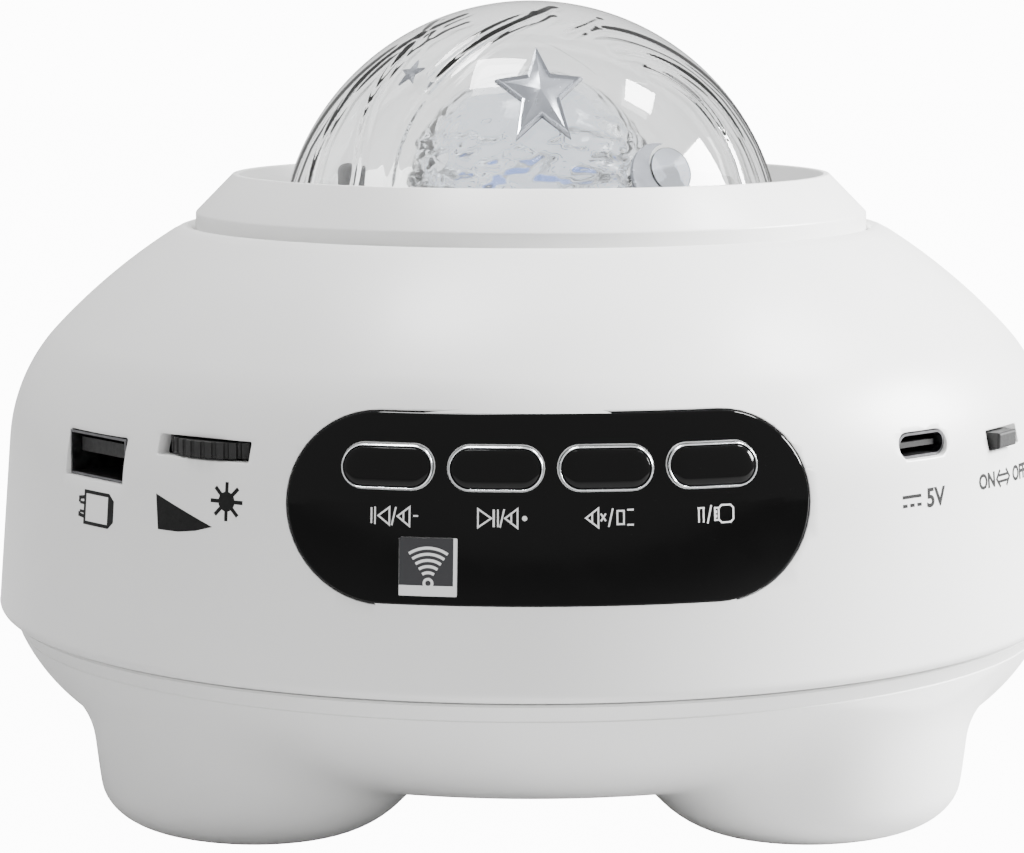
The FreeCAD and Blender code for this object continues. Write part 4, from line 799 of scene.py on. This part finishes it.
def dome_skin():
    """Rings of the dome: outer skin from the flange to the pole, then the inner skin down."""
    turn = full_turn(600)
    inner_r = DOME_R - DOME_WALL
    flange_top = LEDGE_TOP + FLANGE_T
    profile = [(inner_r, LEDGE_TOP), (FLANGE_R, LEDGE_TOP), (FLANGE_R, flange_top), (DOME_R, flange_top)]
    rings = [circle(r, z, turn) * MM for r, z in profile]
    start = math.asin((flange_top + 0.05 - DOME_Z) / DOME_R)
    for height in np.linspace(start, math.pi / 2, 148):
        directions = circle(math.cos(height), math.sin(height), turn)
        low_fade = np.clip((math.degrees(height) - 3) / 6, 0, 1)
        high_fade = 1.0 if height < math.radians(85) else 0.0
        reach = DOME_R - groove_depth(directions) * low_fade * high_fade
        rings.append((directions * reach[:, None] + np.array([0, 0, DOME_Z])) * MM)
    for height in np.linspace(math.pi / 2, 0, 8):
        rings.append(circle(inner_r * math.cos(height), DOME_Z + inner_r * math.sin(height), turn) * MM)
    return rings + rings[:1]


dome = new_object("dome_shell", grid_mesh(dome_skin(), closed_ends=False), clear_dome, 60)
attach(dome, "housing")
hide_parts("dome_lens")


def on_dome(x, y, rise, azimuth, height, spin=0.0):
    """A point of a motif on the dome: x across, y up its face, rise above the glass, in mm."""
    a = math.radians(spin)
    px = x * math.cos(a) - y * math.sin(a)
    py = x * math.sin(a) + y * math.cos(a)
    reach = DOME_R + rise
    flat = Vector((px, -math.sqrt(DOME_R ** 2 - px * px - py * py), py)).normalized() * reach
    place = aim_matrix(azimuth) @ Matrix.Rotation(math.radians(-height), 4, "X") @ flat
    return (place + Vector((0, 0, DOME_Z))) * MM


def star_pairs(tip, waist, tall):
    """Outline of a five-pointed star, drawn out upwards."""
    pairs = []
    for k in range(10):
        reach = tip if k % 2 == 0 else waist
        pairs.append((reach * math.sin(math.pi * k / 5), tall * reach * math.cos(math.pi * k / 5)))
    return pairs


def crescent_pairs(outer, bite, shift, steps=40):
    """Outline of a moon sickle that opens to the right."""
    meet = math.acos((outer ** 2 + shift ** 2 - bite ** 2) / (2 * outer * shift))
    bite_meet = math.degrees(math.atan2(outer * math.sin(meet), outer * math.cos(meet) - shift))
    meet = math.degrees(meet)
    return (arc_points(0, 0, outer, meet, 360 - meet, steps)
            + arc_points(shift, 0, bite, 360 - bite_meet, bite_meet, steps)[1:-1])


def motif(name, pairs, rings, azimuth, height, spin, material):
    """A raised motif; rings are (scale, rise) steps from its sunk foot to its top."""
    levels = [[on_dome(x * scale, y * scale, rise, azimuth, height, spin) for x, y in pairs]
              for scale, rise in rings]
    piece = new_object(name, grid_mesh(levels), material, 20)
    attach(piece, "housing")


def even_finish(name, shade, grain_mm, roughness, values):
    """One colour, with a roughness that wanders between two values over grains of one size."""
    material, tree = new_material(name)
    shader(tree, {"Base Color": linear(shade), **values,
                  "Roughness": spread(tree, object_noise(tree, grain_mm), *roughness)})
    return material


MOON_PLACE = (31.5, 20.5)
MOON_TURN = 28
BITE_SHIFT = 1.9
DISC_SHIFT = 1.85
DISC_R = 3.2
# The silvery film stamped on the motifs is half mirror, half milky plastic.
silver_film = even_finish("silvery_motif_film", "AEB2BA", 1.2, (0.16, 0.28),
                          {"Metallic": 0.35, "Transmission Weight": 0.45, "IOR": 1.5})
motif("dome_star", star_pairs(6.2, 2.7, 1.42), ((1.0, -0.5), (1.0, 0.2), (0.93, 0.62), (0.8, 0.3),
                                                (0.5, 0.55), (0.02, 0.95)), 2.6, 41.0, 2, silver_film)
motif("dome_small_star", star_pairs(2.0, 0.8, 1.3),
      ((1.0, -0.3), (1.0, 0.15), (0.5, 0.4), (0.02, 0.45)), -41.2, 46.5, 8, silver_film)
motif("dome_moon", crescent_pairs(4.7, 3.7, BITE_SHIFT),
      ((1.0, -0.5), (1.0, 0.2), (0.97, 0.4)), *MOON_PLACE, MOON_TURN, silver_film)
moon_glass = clear_plastic("thick_clear_polycarbonate", "D9DDE6", 0.03, 1.585)
disc_x, disc_y = arc_points(0, 0, DISC_SHIFT, MOON_TURN, MOON_TURN, 1)[0]
disc = arc_points(disc_x, disc_y, DISC_R, 0, 360, 49)[:-1]
motif("dome_moon_disc", disc, ((1.0, -0.5), (1.0, 0.1), (0.97, 0.25)), *MOON_PLACE, 0, moon_glass)


# Ripple lens. A clear cup that turns on the hub; its skin is moulded in small waves, so that
# the light of the lamp below dances on the ceiling like water.
RIPPLE_R = 17.0
RIPPLE_SHOULDER = 82.0
RIPPLE_TOP = 98.5
RIPPLE_LOW = 69.46
RIPPLE_FOOT = 72.6
RIPPLE_WALL = 1.6


def wave_height(points, sizes=((5.2, 0.34), (2.6, 0.24), (1.5, 0.14))):
    """A sum of crossed, mostly level waves in mm, the same each run."""
    draw = np.random.default_rng(11)
    height = np.zeros(len(points))
    for wavelength, amount in sizes:
        for _ in range(7):
            direction = draw.normal(size=3) * (0.42, 0.42, 1.0)
            direction /= np.linalg.norm(direction)
            phase = draw.uniform(0, 2 * math.pi)
            height += amount / 3 * np.sin(points @ direction * 2 * math.pi / wavelength + phase)
    return height


def ripple_skin():
    """Rings of the cup: up the waved outside from its plain foot, and down the smooth inside."""
    rise = RIPPLE_TOP - RIPPLE_SHOULDER
    inner_r = RIPPLE_R - RIPPLE_WALL
    foot_r = RIPPLE_R - 0.1
    outline = [(inner_r, RIPPLE_LOW, 0), (foot_r, RIPPLE_LOW, 0), (foot_r, RIPPLE_FOOT, 0)]
    for z in np.linspace(73, RIPPLE_SHOULDER, 24):
        outline.append((RIPPLE_R, z, float(np.interp(z, (RIPPLE_FOOT, 76, 81), (0, 0.2, 0.9)))))
    for a in np.linspace(0, math.pi / 2, 60)[1:]:
        height = RIPPLE_SHOULDER + rise * math.sin(a)
        outline.append((RIPPLE_R * math.cos(a), height, float(np.interp(height, (88, 93), (1, 0.12)))))
    for a in np.linspace(math.pi / 2, 0, 16):
        outline.append((inner_r * math.cos(a), RIPPLE_SHOULDER + (rise - RIPPLE_WALL) * math.sin(a), 0))
    rings = []
    for r, z, waves in outline + outline[:1]:
        points = circle(r, z, full_turn(300))
        if waves:
            outward = points - np.array([0, 0, min(z, RIPPLE_SHOULDER)])
            outward /= np.linalg.norm(outward, axis=1)[:, None]
            points = points + outward * (wave_height(points) * waves)[:, None]
            if r < 1e-6:
                points[:] = points[0]
        rings.append(points * MM)
    return rings


ripple_plastic = clear_plastic("rippled_clear_polycarbonate", "F4F7FC", 0.0, 1.49)
ripple = new_object("ripple_cup", grid_mesh(ripple_skin(), closed_ends=False), ripple_plastic, 60)
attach(ripple, "ripple_rotor")
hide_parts("ripple_lens")


# Control panel. A cover of gloss black acrylic that follows the wall, let into a shallow
# pocket with its front a hair proud, with printed white marks.
def gloss_black(name, shade, roughness):
    """Gloss black plastic: deep colour, a clear mirror, and faint handling haze."""
    return even_finish(name, shade, 6, (roughness, roughness + 0.03),
                       {"IOR": 1.49, "Specular IOR Level": 0.22})


PANEL_PROUD = 0.12
PANEL_BACK = PANEL_T - 0.05
panel_black = gloss_black("gloss_black_acrylic", "010101", 0.04)
panel_rings = [(inset, -PANEL_PROUD) for inset in (PANEL_H / 2, 9.5, 8.0, 6.5, 5.0, 3.5, 2.2, 1.0, 0.25)]
panel_rings += [(0.07, -PANEL_PROUD + 0.07), (0, 0.1)]
panel_rings += [(inset, PANEL_BACK) for inset in (0, 2.5, 5.0, 8.0, PANEL_H / 2)]
panel_mesh = wall_solid(stadium(PANEL_W, PANEL_H, PANEL_Z, 32), panel_rings, PANEL_ANGLE)
panel = new_object("control_panel_cover", panel_mesh, panel_black)
through = [(0, -1.0), (0, 3.0)]
panel_cuts = [wall_solid(button_hole, through, angle) for angle in BUTTON_ANGLES]
window_room = rectangle(WINDOW_W + 0.1, WINDOW_H + 0.1, WINDOW_Z)
panel_cuts.append(wall_solid(window_room, through, WINDOW_ANGLE))
cut(panel, panel_cuts)
shade_as_turned(panel, PANEL_PROUD)
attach(panel, "housing")
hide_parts("control_panel")


# Push buttons. Four round-ended caps of gloss black ABS with a bright chrome ring round the edge of each
# face, a painted highlight that stands in for the shine on the caps' glossy bevelled edges; each cap slides
# straight in.
BUTTON_RISE = 0.8
BUTTON_BACK = 2.0
BEZEL_W = 0.3
front = -BUTTON_RISE
cap_black = gloss_black("gloss_black_abs", "020202", 0.1)
# Bright chrome on the bezel rings: a painted highlight for the lit bevelled edges of the black caps.
bezel_highlight_chrome = even_finish("chrome_painted_highlight", "E4E6E8", 1.5, (0.18, 0.28), {"Metallic": 1.0})
face_w, face_h = BUTTON_W - 2 * BEZEL_W, BUTTON_H - 2 * BEZEL_W
cap_rings = [(face_h / 2, front - 0.18), (1.4, front - 0.16), (0.7, front - 0.08), (0.2, front + 0.05),
             (0.0, front + 0.25), (0.0, BUTTON_BACK), (face_h / 2, BUTTON_BACK)]
bezel_rings = [(0.0, BUTTON_BACK), (0.0, front + 0.2), (0.07, front + 0.05), (0.15, front),
               (0.23, front + 0.05), (BEZEL_W, front + 0.2), (BEZEL_W, BUTTON_BACK), (0.0, BUTTON_BACK)]
for index, angle in enumerate(BUTTON_ANGLES, start=1):
    cap_mesh = wall_solid(stadium(face_w, face_h, BUTTON_Z, 18), cap_rings, angle)
    cap = new_object("button_%d_cap" % index, cap_mesh, cap_black, 50)
    bezel_mesh = wall_solid(stadium(BUTTON_W, BUTTON_H, BUTTON_Z, 18), bezel_rings, angle, closed_ends=False)
    bezel = new_object("button_%d_bezel" % index, bezel_mesh, bezel_highlight_chrome, 50)
    body = "button_%d" % index
    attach(cap, body)
    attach(bezel, body)
    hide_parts("button_cap_%d" % index)


# Remote window. A square of smoked acrylic that lets infrared through, with a printed wave
# mark and a light border at its right and lower edges.
smoked = gloss_black("smoked_acrylic", "3A3A3C", 0.15)
window_rings = [(3.4, -PANEL_PROUD), (1.5, -PANEL_PROUD), (0.05, -PANEL_PROUD), (0, -PANEL_PROUD + 0.05),
                (0, PANEL_T), (3.4, PANEL_T)]
window_mesh = wall_solid(rectangle(WINDOW_W, WINDOW_H, WINDOW_Z, 0.1), window_rings, WINDOW_ANGLE)
window = new_object("remote_window", window_mesh, smoked)
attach(window, "housing")
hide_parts("ir_window")


# Printed marks. Pad-printed ink, white on the panel and black on the shell: transport and
# volume marks, a memory stick, a sun and wedge, a voltage mark, and ON and OFF.
def ink(name, shade):
    """Pad-printing ink: thin, matt, with a slightly uneven edge to its gloss."""
    return even_finish(name, shade, 0.6, (0.5, 0.65), {"IOR": 1.5, "Specular IOR Level": 0.25})


INK_LIFT = 0.03
INK_SINK = 0.05
THIN = 0.2
white_ink = ink("white_pad_ink", "E6E6E6")
black_ink = ink("black_pad_ink", "020202")


def stroke(points, width=THIN, closed=False):
    """A line of ink through (x, z) points, as flat quads with mitred joints."""
    path = [Vector(p) for p in points]
    last = len(path) - 1
    sides = []
    for i, here in enumerate(path):
        into = (here - path[i - 1]).normalized() if closed or i > 0 else None
        out = (path[(i + 1) % len(path)] - here).normalized() if closed or i < last else into
        into = into or out
        normal = Vector((-(into + out).y, (into + out).x)).normalized()
        share = max(0.4, normal.dot(Vector((-into.y, into.x))))
        sides.append((here + normal * width / 2 / share, here - normal * width / 2 / share))
    quads = []
    for a, b in zip(sides, sides[1:] + sides[:1] if closed else sides[1:]):
        quads.append([tuple(p) for p in (a[0], b[0], b[1], a[1])])
    return quads


def dash(start, end, z, width=THIN):
    """A level line of ink."""
    return stroke([(start, z), (end, z)], width)


def bar(x, z, height, width=THIN, lean=0.0):
    """An upright or leaning line of ink."""
    return stroke([(x - lean / 2, z - height / 2), (x + lean / 2, z + height / 2)], width)


def circle_stroke(x, z, radius, width, steps):
    return stroke(arc_points(x, z, radius, 0, 360, steps + 1)[:-1], width, closed=True)


def words(text, size, x, z):
    """Plain lettering, slightly bold, as flat polygons centred on a place."""
    curve = bpy.data.curves.new("letters", "FONT")
    curve.body = text
    curve.size = size
    curve.align_x = "CENTER"
    curve.align_y = "CENTER"
    curve.offset = 0.09
    curve.resolution_u = 3
    holder = bpy.data.objects.new("letters", curve)
    scene.collection.objects.link(holder)
    mesh = plain_mesh(holder)
    flat = [[(mesh.vertices[i].co.x + x, mesh.vertices[i].co.y + z) for i in face.vertices]
            for face in mesh.polygons]
    bpy.data.objects.remove(holder)
    return flat


def printed(name, polygons, azimuth, material, base_depth=0.0):
    """Lays flat (x, z) polygons on the wall as a film of ink that follows its curve."""
    form = bmesh.new()
    for polygon in polygons:
        form.faces.new([form.verts.new((x, 0, z)) for x, z in polygon])
    bmesh.ops.remove_doubles(form, verts=form.verts, dist=1e-4)
    lowest = min(v.co.x for v in form.verts)
    highest = max(v.co.x for v in form.verts)
    for x in np.arange(lowest + 0.7, highest, 0.7):
        everything = form.verts[:] + form.edges[:] + form.faces[:]
        bmesh.ops.bisect_plane(form, geom=everything, plane_co=(x, 0, 0), plane_no=(1, 0, 0))
    bmesh.ops.recalc_face_normals(form, faces=form.faces)
    for face in form.faces:
        if face.normal.y > 0:
            face.normal_flip()
    copy = bmesh.ops.extrude_face_region(form, geom=form.faces[:])
    back_points = {v for v in copy["geom"] if isinstance(v, bmesh.types.BMVert)}
    for vert in form.verts:
        depth = -INK_LIFT if vert in back_points else INK_SINK
        vert.co = on_wall(vert.co.x, vert.co.z, base_depth + depth, azimuth)
    bmesh.ops.recalc_face_normals(form, faces=form.faces)
    mesh = bpy.data.meshes.new("ink")
    form.to_mesh(mesh)
    form.free()
    piece = new_object(name, mesh, material)
    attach(piece, "housing")


def triangle(x, z, width, height):
    """A triangle whose tip points right for a positive width."""
    return stroke([(x, z - height / 2), (x + width, z), (x, z + height / 2)], closed=True)


def horn(x, z):
    """A small loudspeaker mark."""
    outline = [(x + 1.5, z - 1.15), (x + 1.5, z + 1.15), (x, z)]
    return stroke(outline, closed=True) + bar(x + 0.75, z, 1.1)


MARK_Z = 46.6
previous_mark = (bar(-2.9, MARK_Z, 1.9) + bar(-2.45, MARK_Z, 2.1) + triangle(-0.65, MARK_Z, -1.4, 2.1)
                 + bar(-0.1, MARK_Z, 2.2, lean=0.5) + horn(0.35, MARK_Z) + dash(2.3, 2.9, MARK_Z + 0.1))
play_mark = (triangle(-2.9, MARK_Z, 1.6, 2.2) + bar(-1.0, MARK_Z, 2.1, 0.26) + bar(-0.5, MARK_Z, 2.1)
             + bar(0.0, MARK_Z, 2.2, lean=0.5) + horn(0.35, MARK_Z)
             + circle_stroke(2.7, MARK_Z, 0.16, 0.3, 12))
box = [(0.9, MARK_Z - 0.8), (0.9, MARK_Z + 0.8), (1.7, MARK_Z + 0.8), (1.7, MARK_Z - 0.8)]
mute_mark = (horn(-2.9, MARK_Z) + stroke([(-1.1, MARK_Z + 0.5), (-0.5, MARK_Z - 0.4)])
             + stroke([(-1.1, MARK_Z - 0.4), (-0.5, MARK_Z + 0.5)]) + bar(0.1, MARK_Z, 2.2, lean=0.5)
             + stroke(box, closed=True) + dash(2.1, 2.9, MARK_Z + 0.9) + dash(2.1, 2.9, MARK_Z - 0.9))


def stick(x, z, width, height):
    """A memory stick mark: a rounded case with a narrower plug."""
    half = height / 2
    corner = half * 0.35
    below = [(x, corner - half), (x + corner, -half), (x + width - corner, -half),
             (x + width, corner - half)]
    case = [(a, z + b) for a, b in below + [(a, -b) for a, b in reversed(below)]]
    end = x - width * 0.26
    plug = [(x, z - half * 0.7), (end, z - half * 0.7), (end, z + half * 0.7), (x, z + half * 0.7)]
    dots = [q for side in (-1, 1) for q in bar(x - width * 0.16, z + side * 0.125 * height, 0.15 * height)]
    return stroke(case, closed=True) + stroke(plug) + dots


stick_mark = (dash(-2.6, -1.7, MARK_Z + 0.8) + bar(-2.45, MARK_Z - 0.1, 1.7) + bar(-1.85, MARK_Z - 0.1, 1.7)
              + bar(-1.1, MARK_Z, 2.2, lean=0.5) + stick(0.1, MARK_Z, 1.9, 2.1))
for name, mark, angle in (("mark_previous", previous_mark, -12.9), ("mark_play", play_mark, -2.7),
                          ("mark_mute", mute_mark, 7.4), ("mark_stick", stick_mark, 17.9)):
    printed(name, mark, angle, white_ink, -PANEL_PROUD)
WAVE_X = 0.05
WAVE_Z = WINDOW_Z - 1.95
waves = circle_stroke(WAVE_X, WAVE_Z, 0.5, 0.32, 20)
for k in range(5):
    waves += stroke(arc_points(WAVE_X, WAVE_Z, 1.28 + 0.74 * k, 56, 124, 18), 0.34)
printed("mark_wave", waves, WINDOW_ANGLE, white_ink, -PANEL_PROUD - 0.01)
left, right, low, high, step = -3.55, 3.55, WINDOW_Z - 3.5, WINDOW_Z + 3.5, WINDOW_Z - 2.25
border = [[(left, low), (right, low), (right, step), (left, step)],
          [(3.1, step), (right, step), (right, high), (3.1, high)]]
printed("window_border", border, WINDOW_ANGLE, white_ink, -PANEL_PROUD)

case = [(-2.7, 41.75), (2.6, 41.75), (3.5, 42.5), (3.5, 45.0), (2.6, 45.75), (-2.7, 45.75)]
shell_stick = stroke(case, 0.46, closed=True) + [[(2.5, 42.0), (3.5, 42.6), (3.5, 44.9), (2.5, 45.5)]]
shell_stick += stroke([(-2.7, 45.0), (-4.0, 44.8), (-4.0, 44.2)], 0.46)
shell_stick += stroke([(-2.7, 42.5), (-4.0, 42.6), (-4.0, 43.0)], 0.46)
shell_stick += dash(-2.7, -3.9, 44.2, 0.36) + dash(-2.7, -3.9, 43.1, 0.36)
printed("mark_memory_stick", shell_stick, -48.9, black_ink)
wedge = [(-2.5, 42.6), (1.0, 42.62), (3.8, 43.0), (6.4, 43.7), (-3.05, 47.0)]
printed("mark_wedge", [wedge], -37.3, black_ink)
SUN_Z = 47.0
sun = [arc_points(0, SUN_Z, 1.22, 0, 345, 24)]
for k in range(8):
    a = math.radians(45 * k)
    sun += stroke([(reach * math.cos(a), SUN_Z + reach * math.sin(a)) for reach in (1.0, 2.4)], 0.48)
printed("mark_sun", sun, -30.7, black_ink)
voltage = words("5V", 3.3, 1.9, 45.9) + dash(-4.3, -0.9, 46.5, 0.42)
for k in range(3):
    voltage += dash(-4.3 + 1.3 * k, -3.5 + 1.3 * k, 45.4, 0.42)
printed("mark_voltage", voltage, 42.6, black_ink)
on_off = words("ON", 2.7, -5.5, MARK_Z) + words("OFF", 2.7, 4.3, MARK_Z)
on_off += dash(-2.3, 0.3, 46.2, 0.34) + dash(-2.3, 0.3, 47.0, 0.34)
for foot, tip in ((-1.9, -2.9), (-0.1, 0.9)):
    on_off += stroke([(foot, 45.5), (tip, MARK_Z), (foot, 47.7)], 0.38)
printed("mark_on_off", on_off, 57.6, black_ink)


# Sockets, switch, dimmer wheel and everything inside keep the shape they were built with;
# each gets the finish of its real stuff.
finishes = {
    "white_shell": white_abs,
    "clear_lens": clear_dome,
    "black_plastic": plain_stuff("matt_black_nylon", "030303", "070707", 0.5, 0.55, 0, 0.02),
    "button_black": cap_black,
    "laser_black": plain_stuff("black_anodised_barrel", "020206", "05050C", 0.6, 0.45),
    "socket_steel": plain_stuff("nickel_plated_steel", "5E5E60", "707072", 1.2, 0.35, 1.0),
    "screw_steel": zinc_steel,
    "board_green": plain_stuff("green_solder_mask", "0E4A28", "14603A", 1.0, 0.35),
    "board_white": plain_stuff("white_solder_mask", "E2E2DC", "EEEEE8", 1.0, 0.4),
    "led_yellow": plain_stuff("phosphor_silicone", "D8C45A", "E6D478", 0.6, 0.4),
    "sink_aluminium": plain_stuff("extruded_aluminium", "B0B2B4", "C6C8CA", 0.5, 0.38, 1.0, 0.02),
    "pad_rubber": pad_rubber,
    "cone_paper": plain_stuff("pressed_paper_cone", "101010", "1C1C1C", 0.4, 0.85, 0, 0.05),
    "magnet_dark": plain_stuff("plated_magnet_cup", "2A2A2E", "3A3A40", 1.0, 0.4, 0.8),
    "lead_insulation": plain_stuff("pvc_insulation", "8E1410", "A21C16", 1.5, 0.45),
    "panel_black": panel_black,
    "smoked_window": smoked,
}
blue_glass = clear_plastic("blue_coated_glass", "7FA6FF", 0.02, 1.52)
slots = {entry["node"]: entry["material_slot"] for entry in frame["record"]["subparts"]}
for name, node in frame["nodes"].items():
    node.data.materials.clear()
    node.data.materials.append(blue_glass if name == "collimator_lens" else finishes[slots[name]])
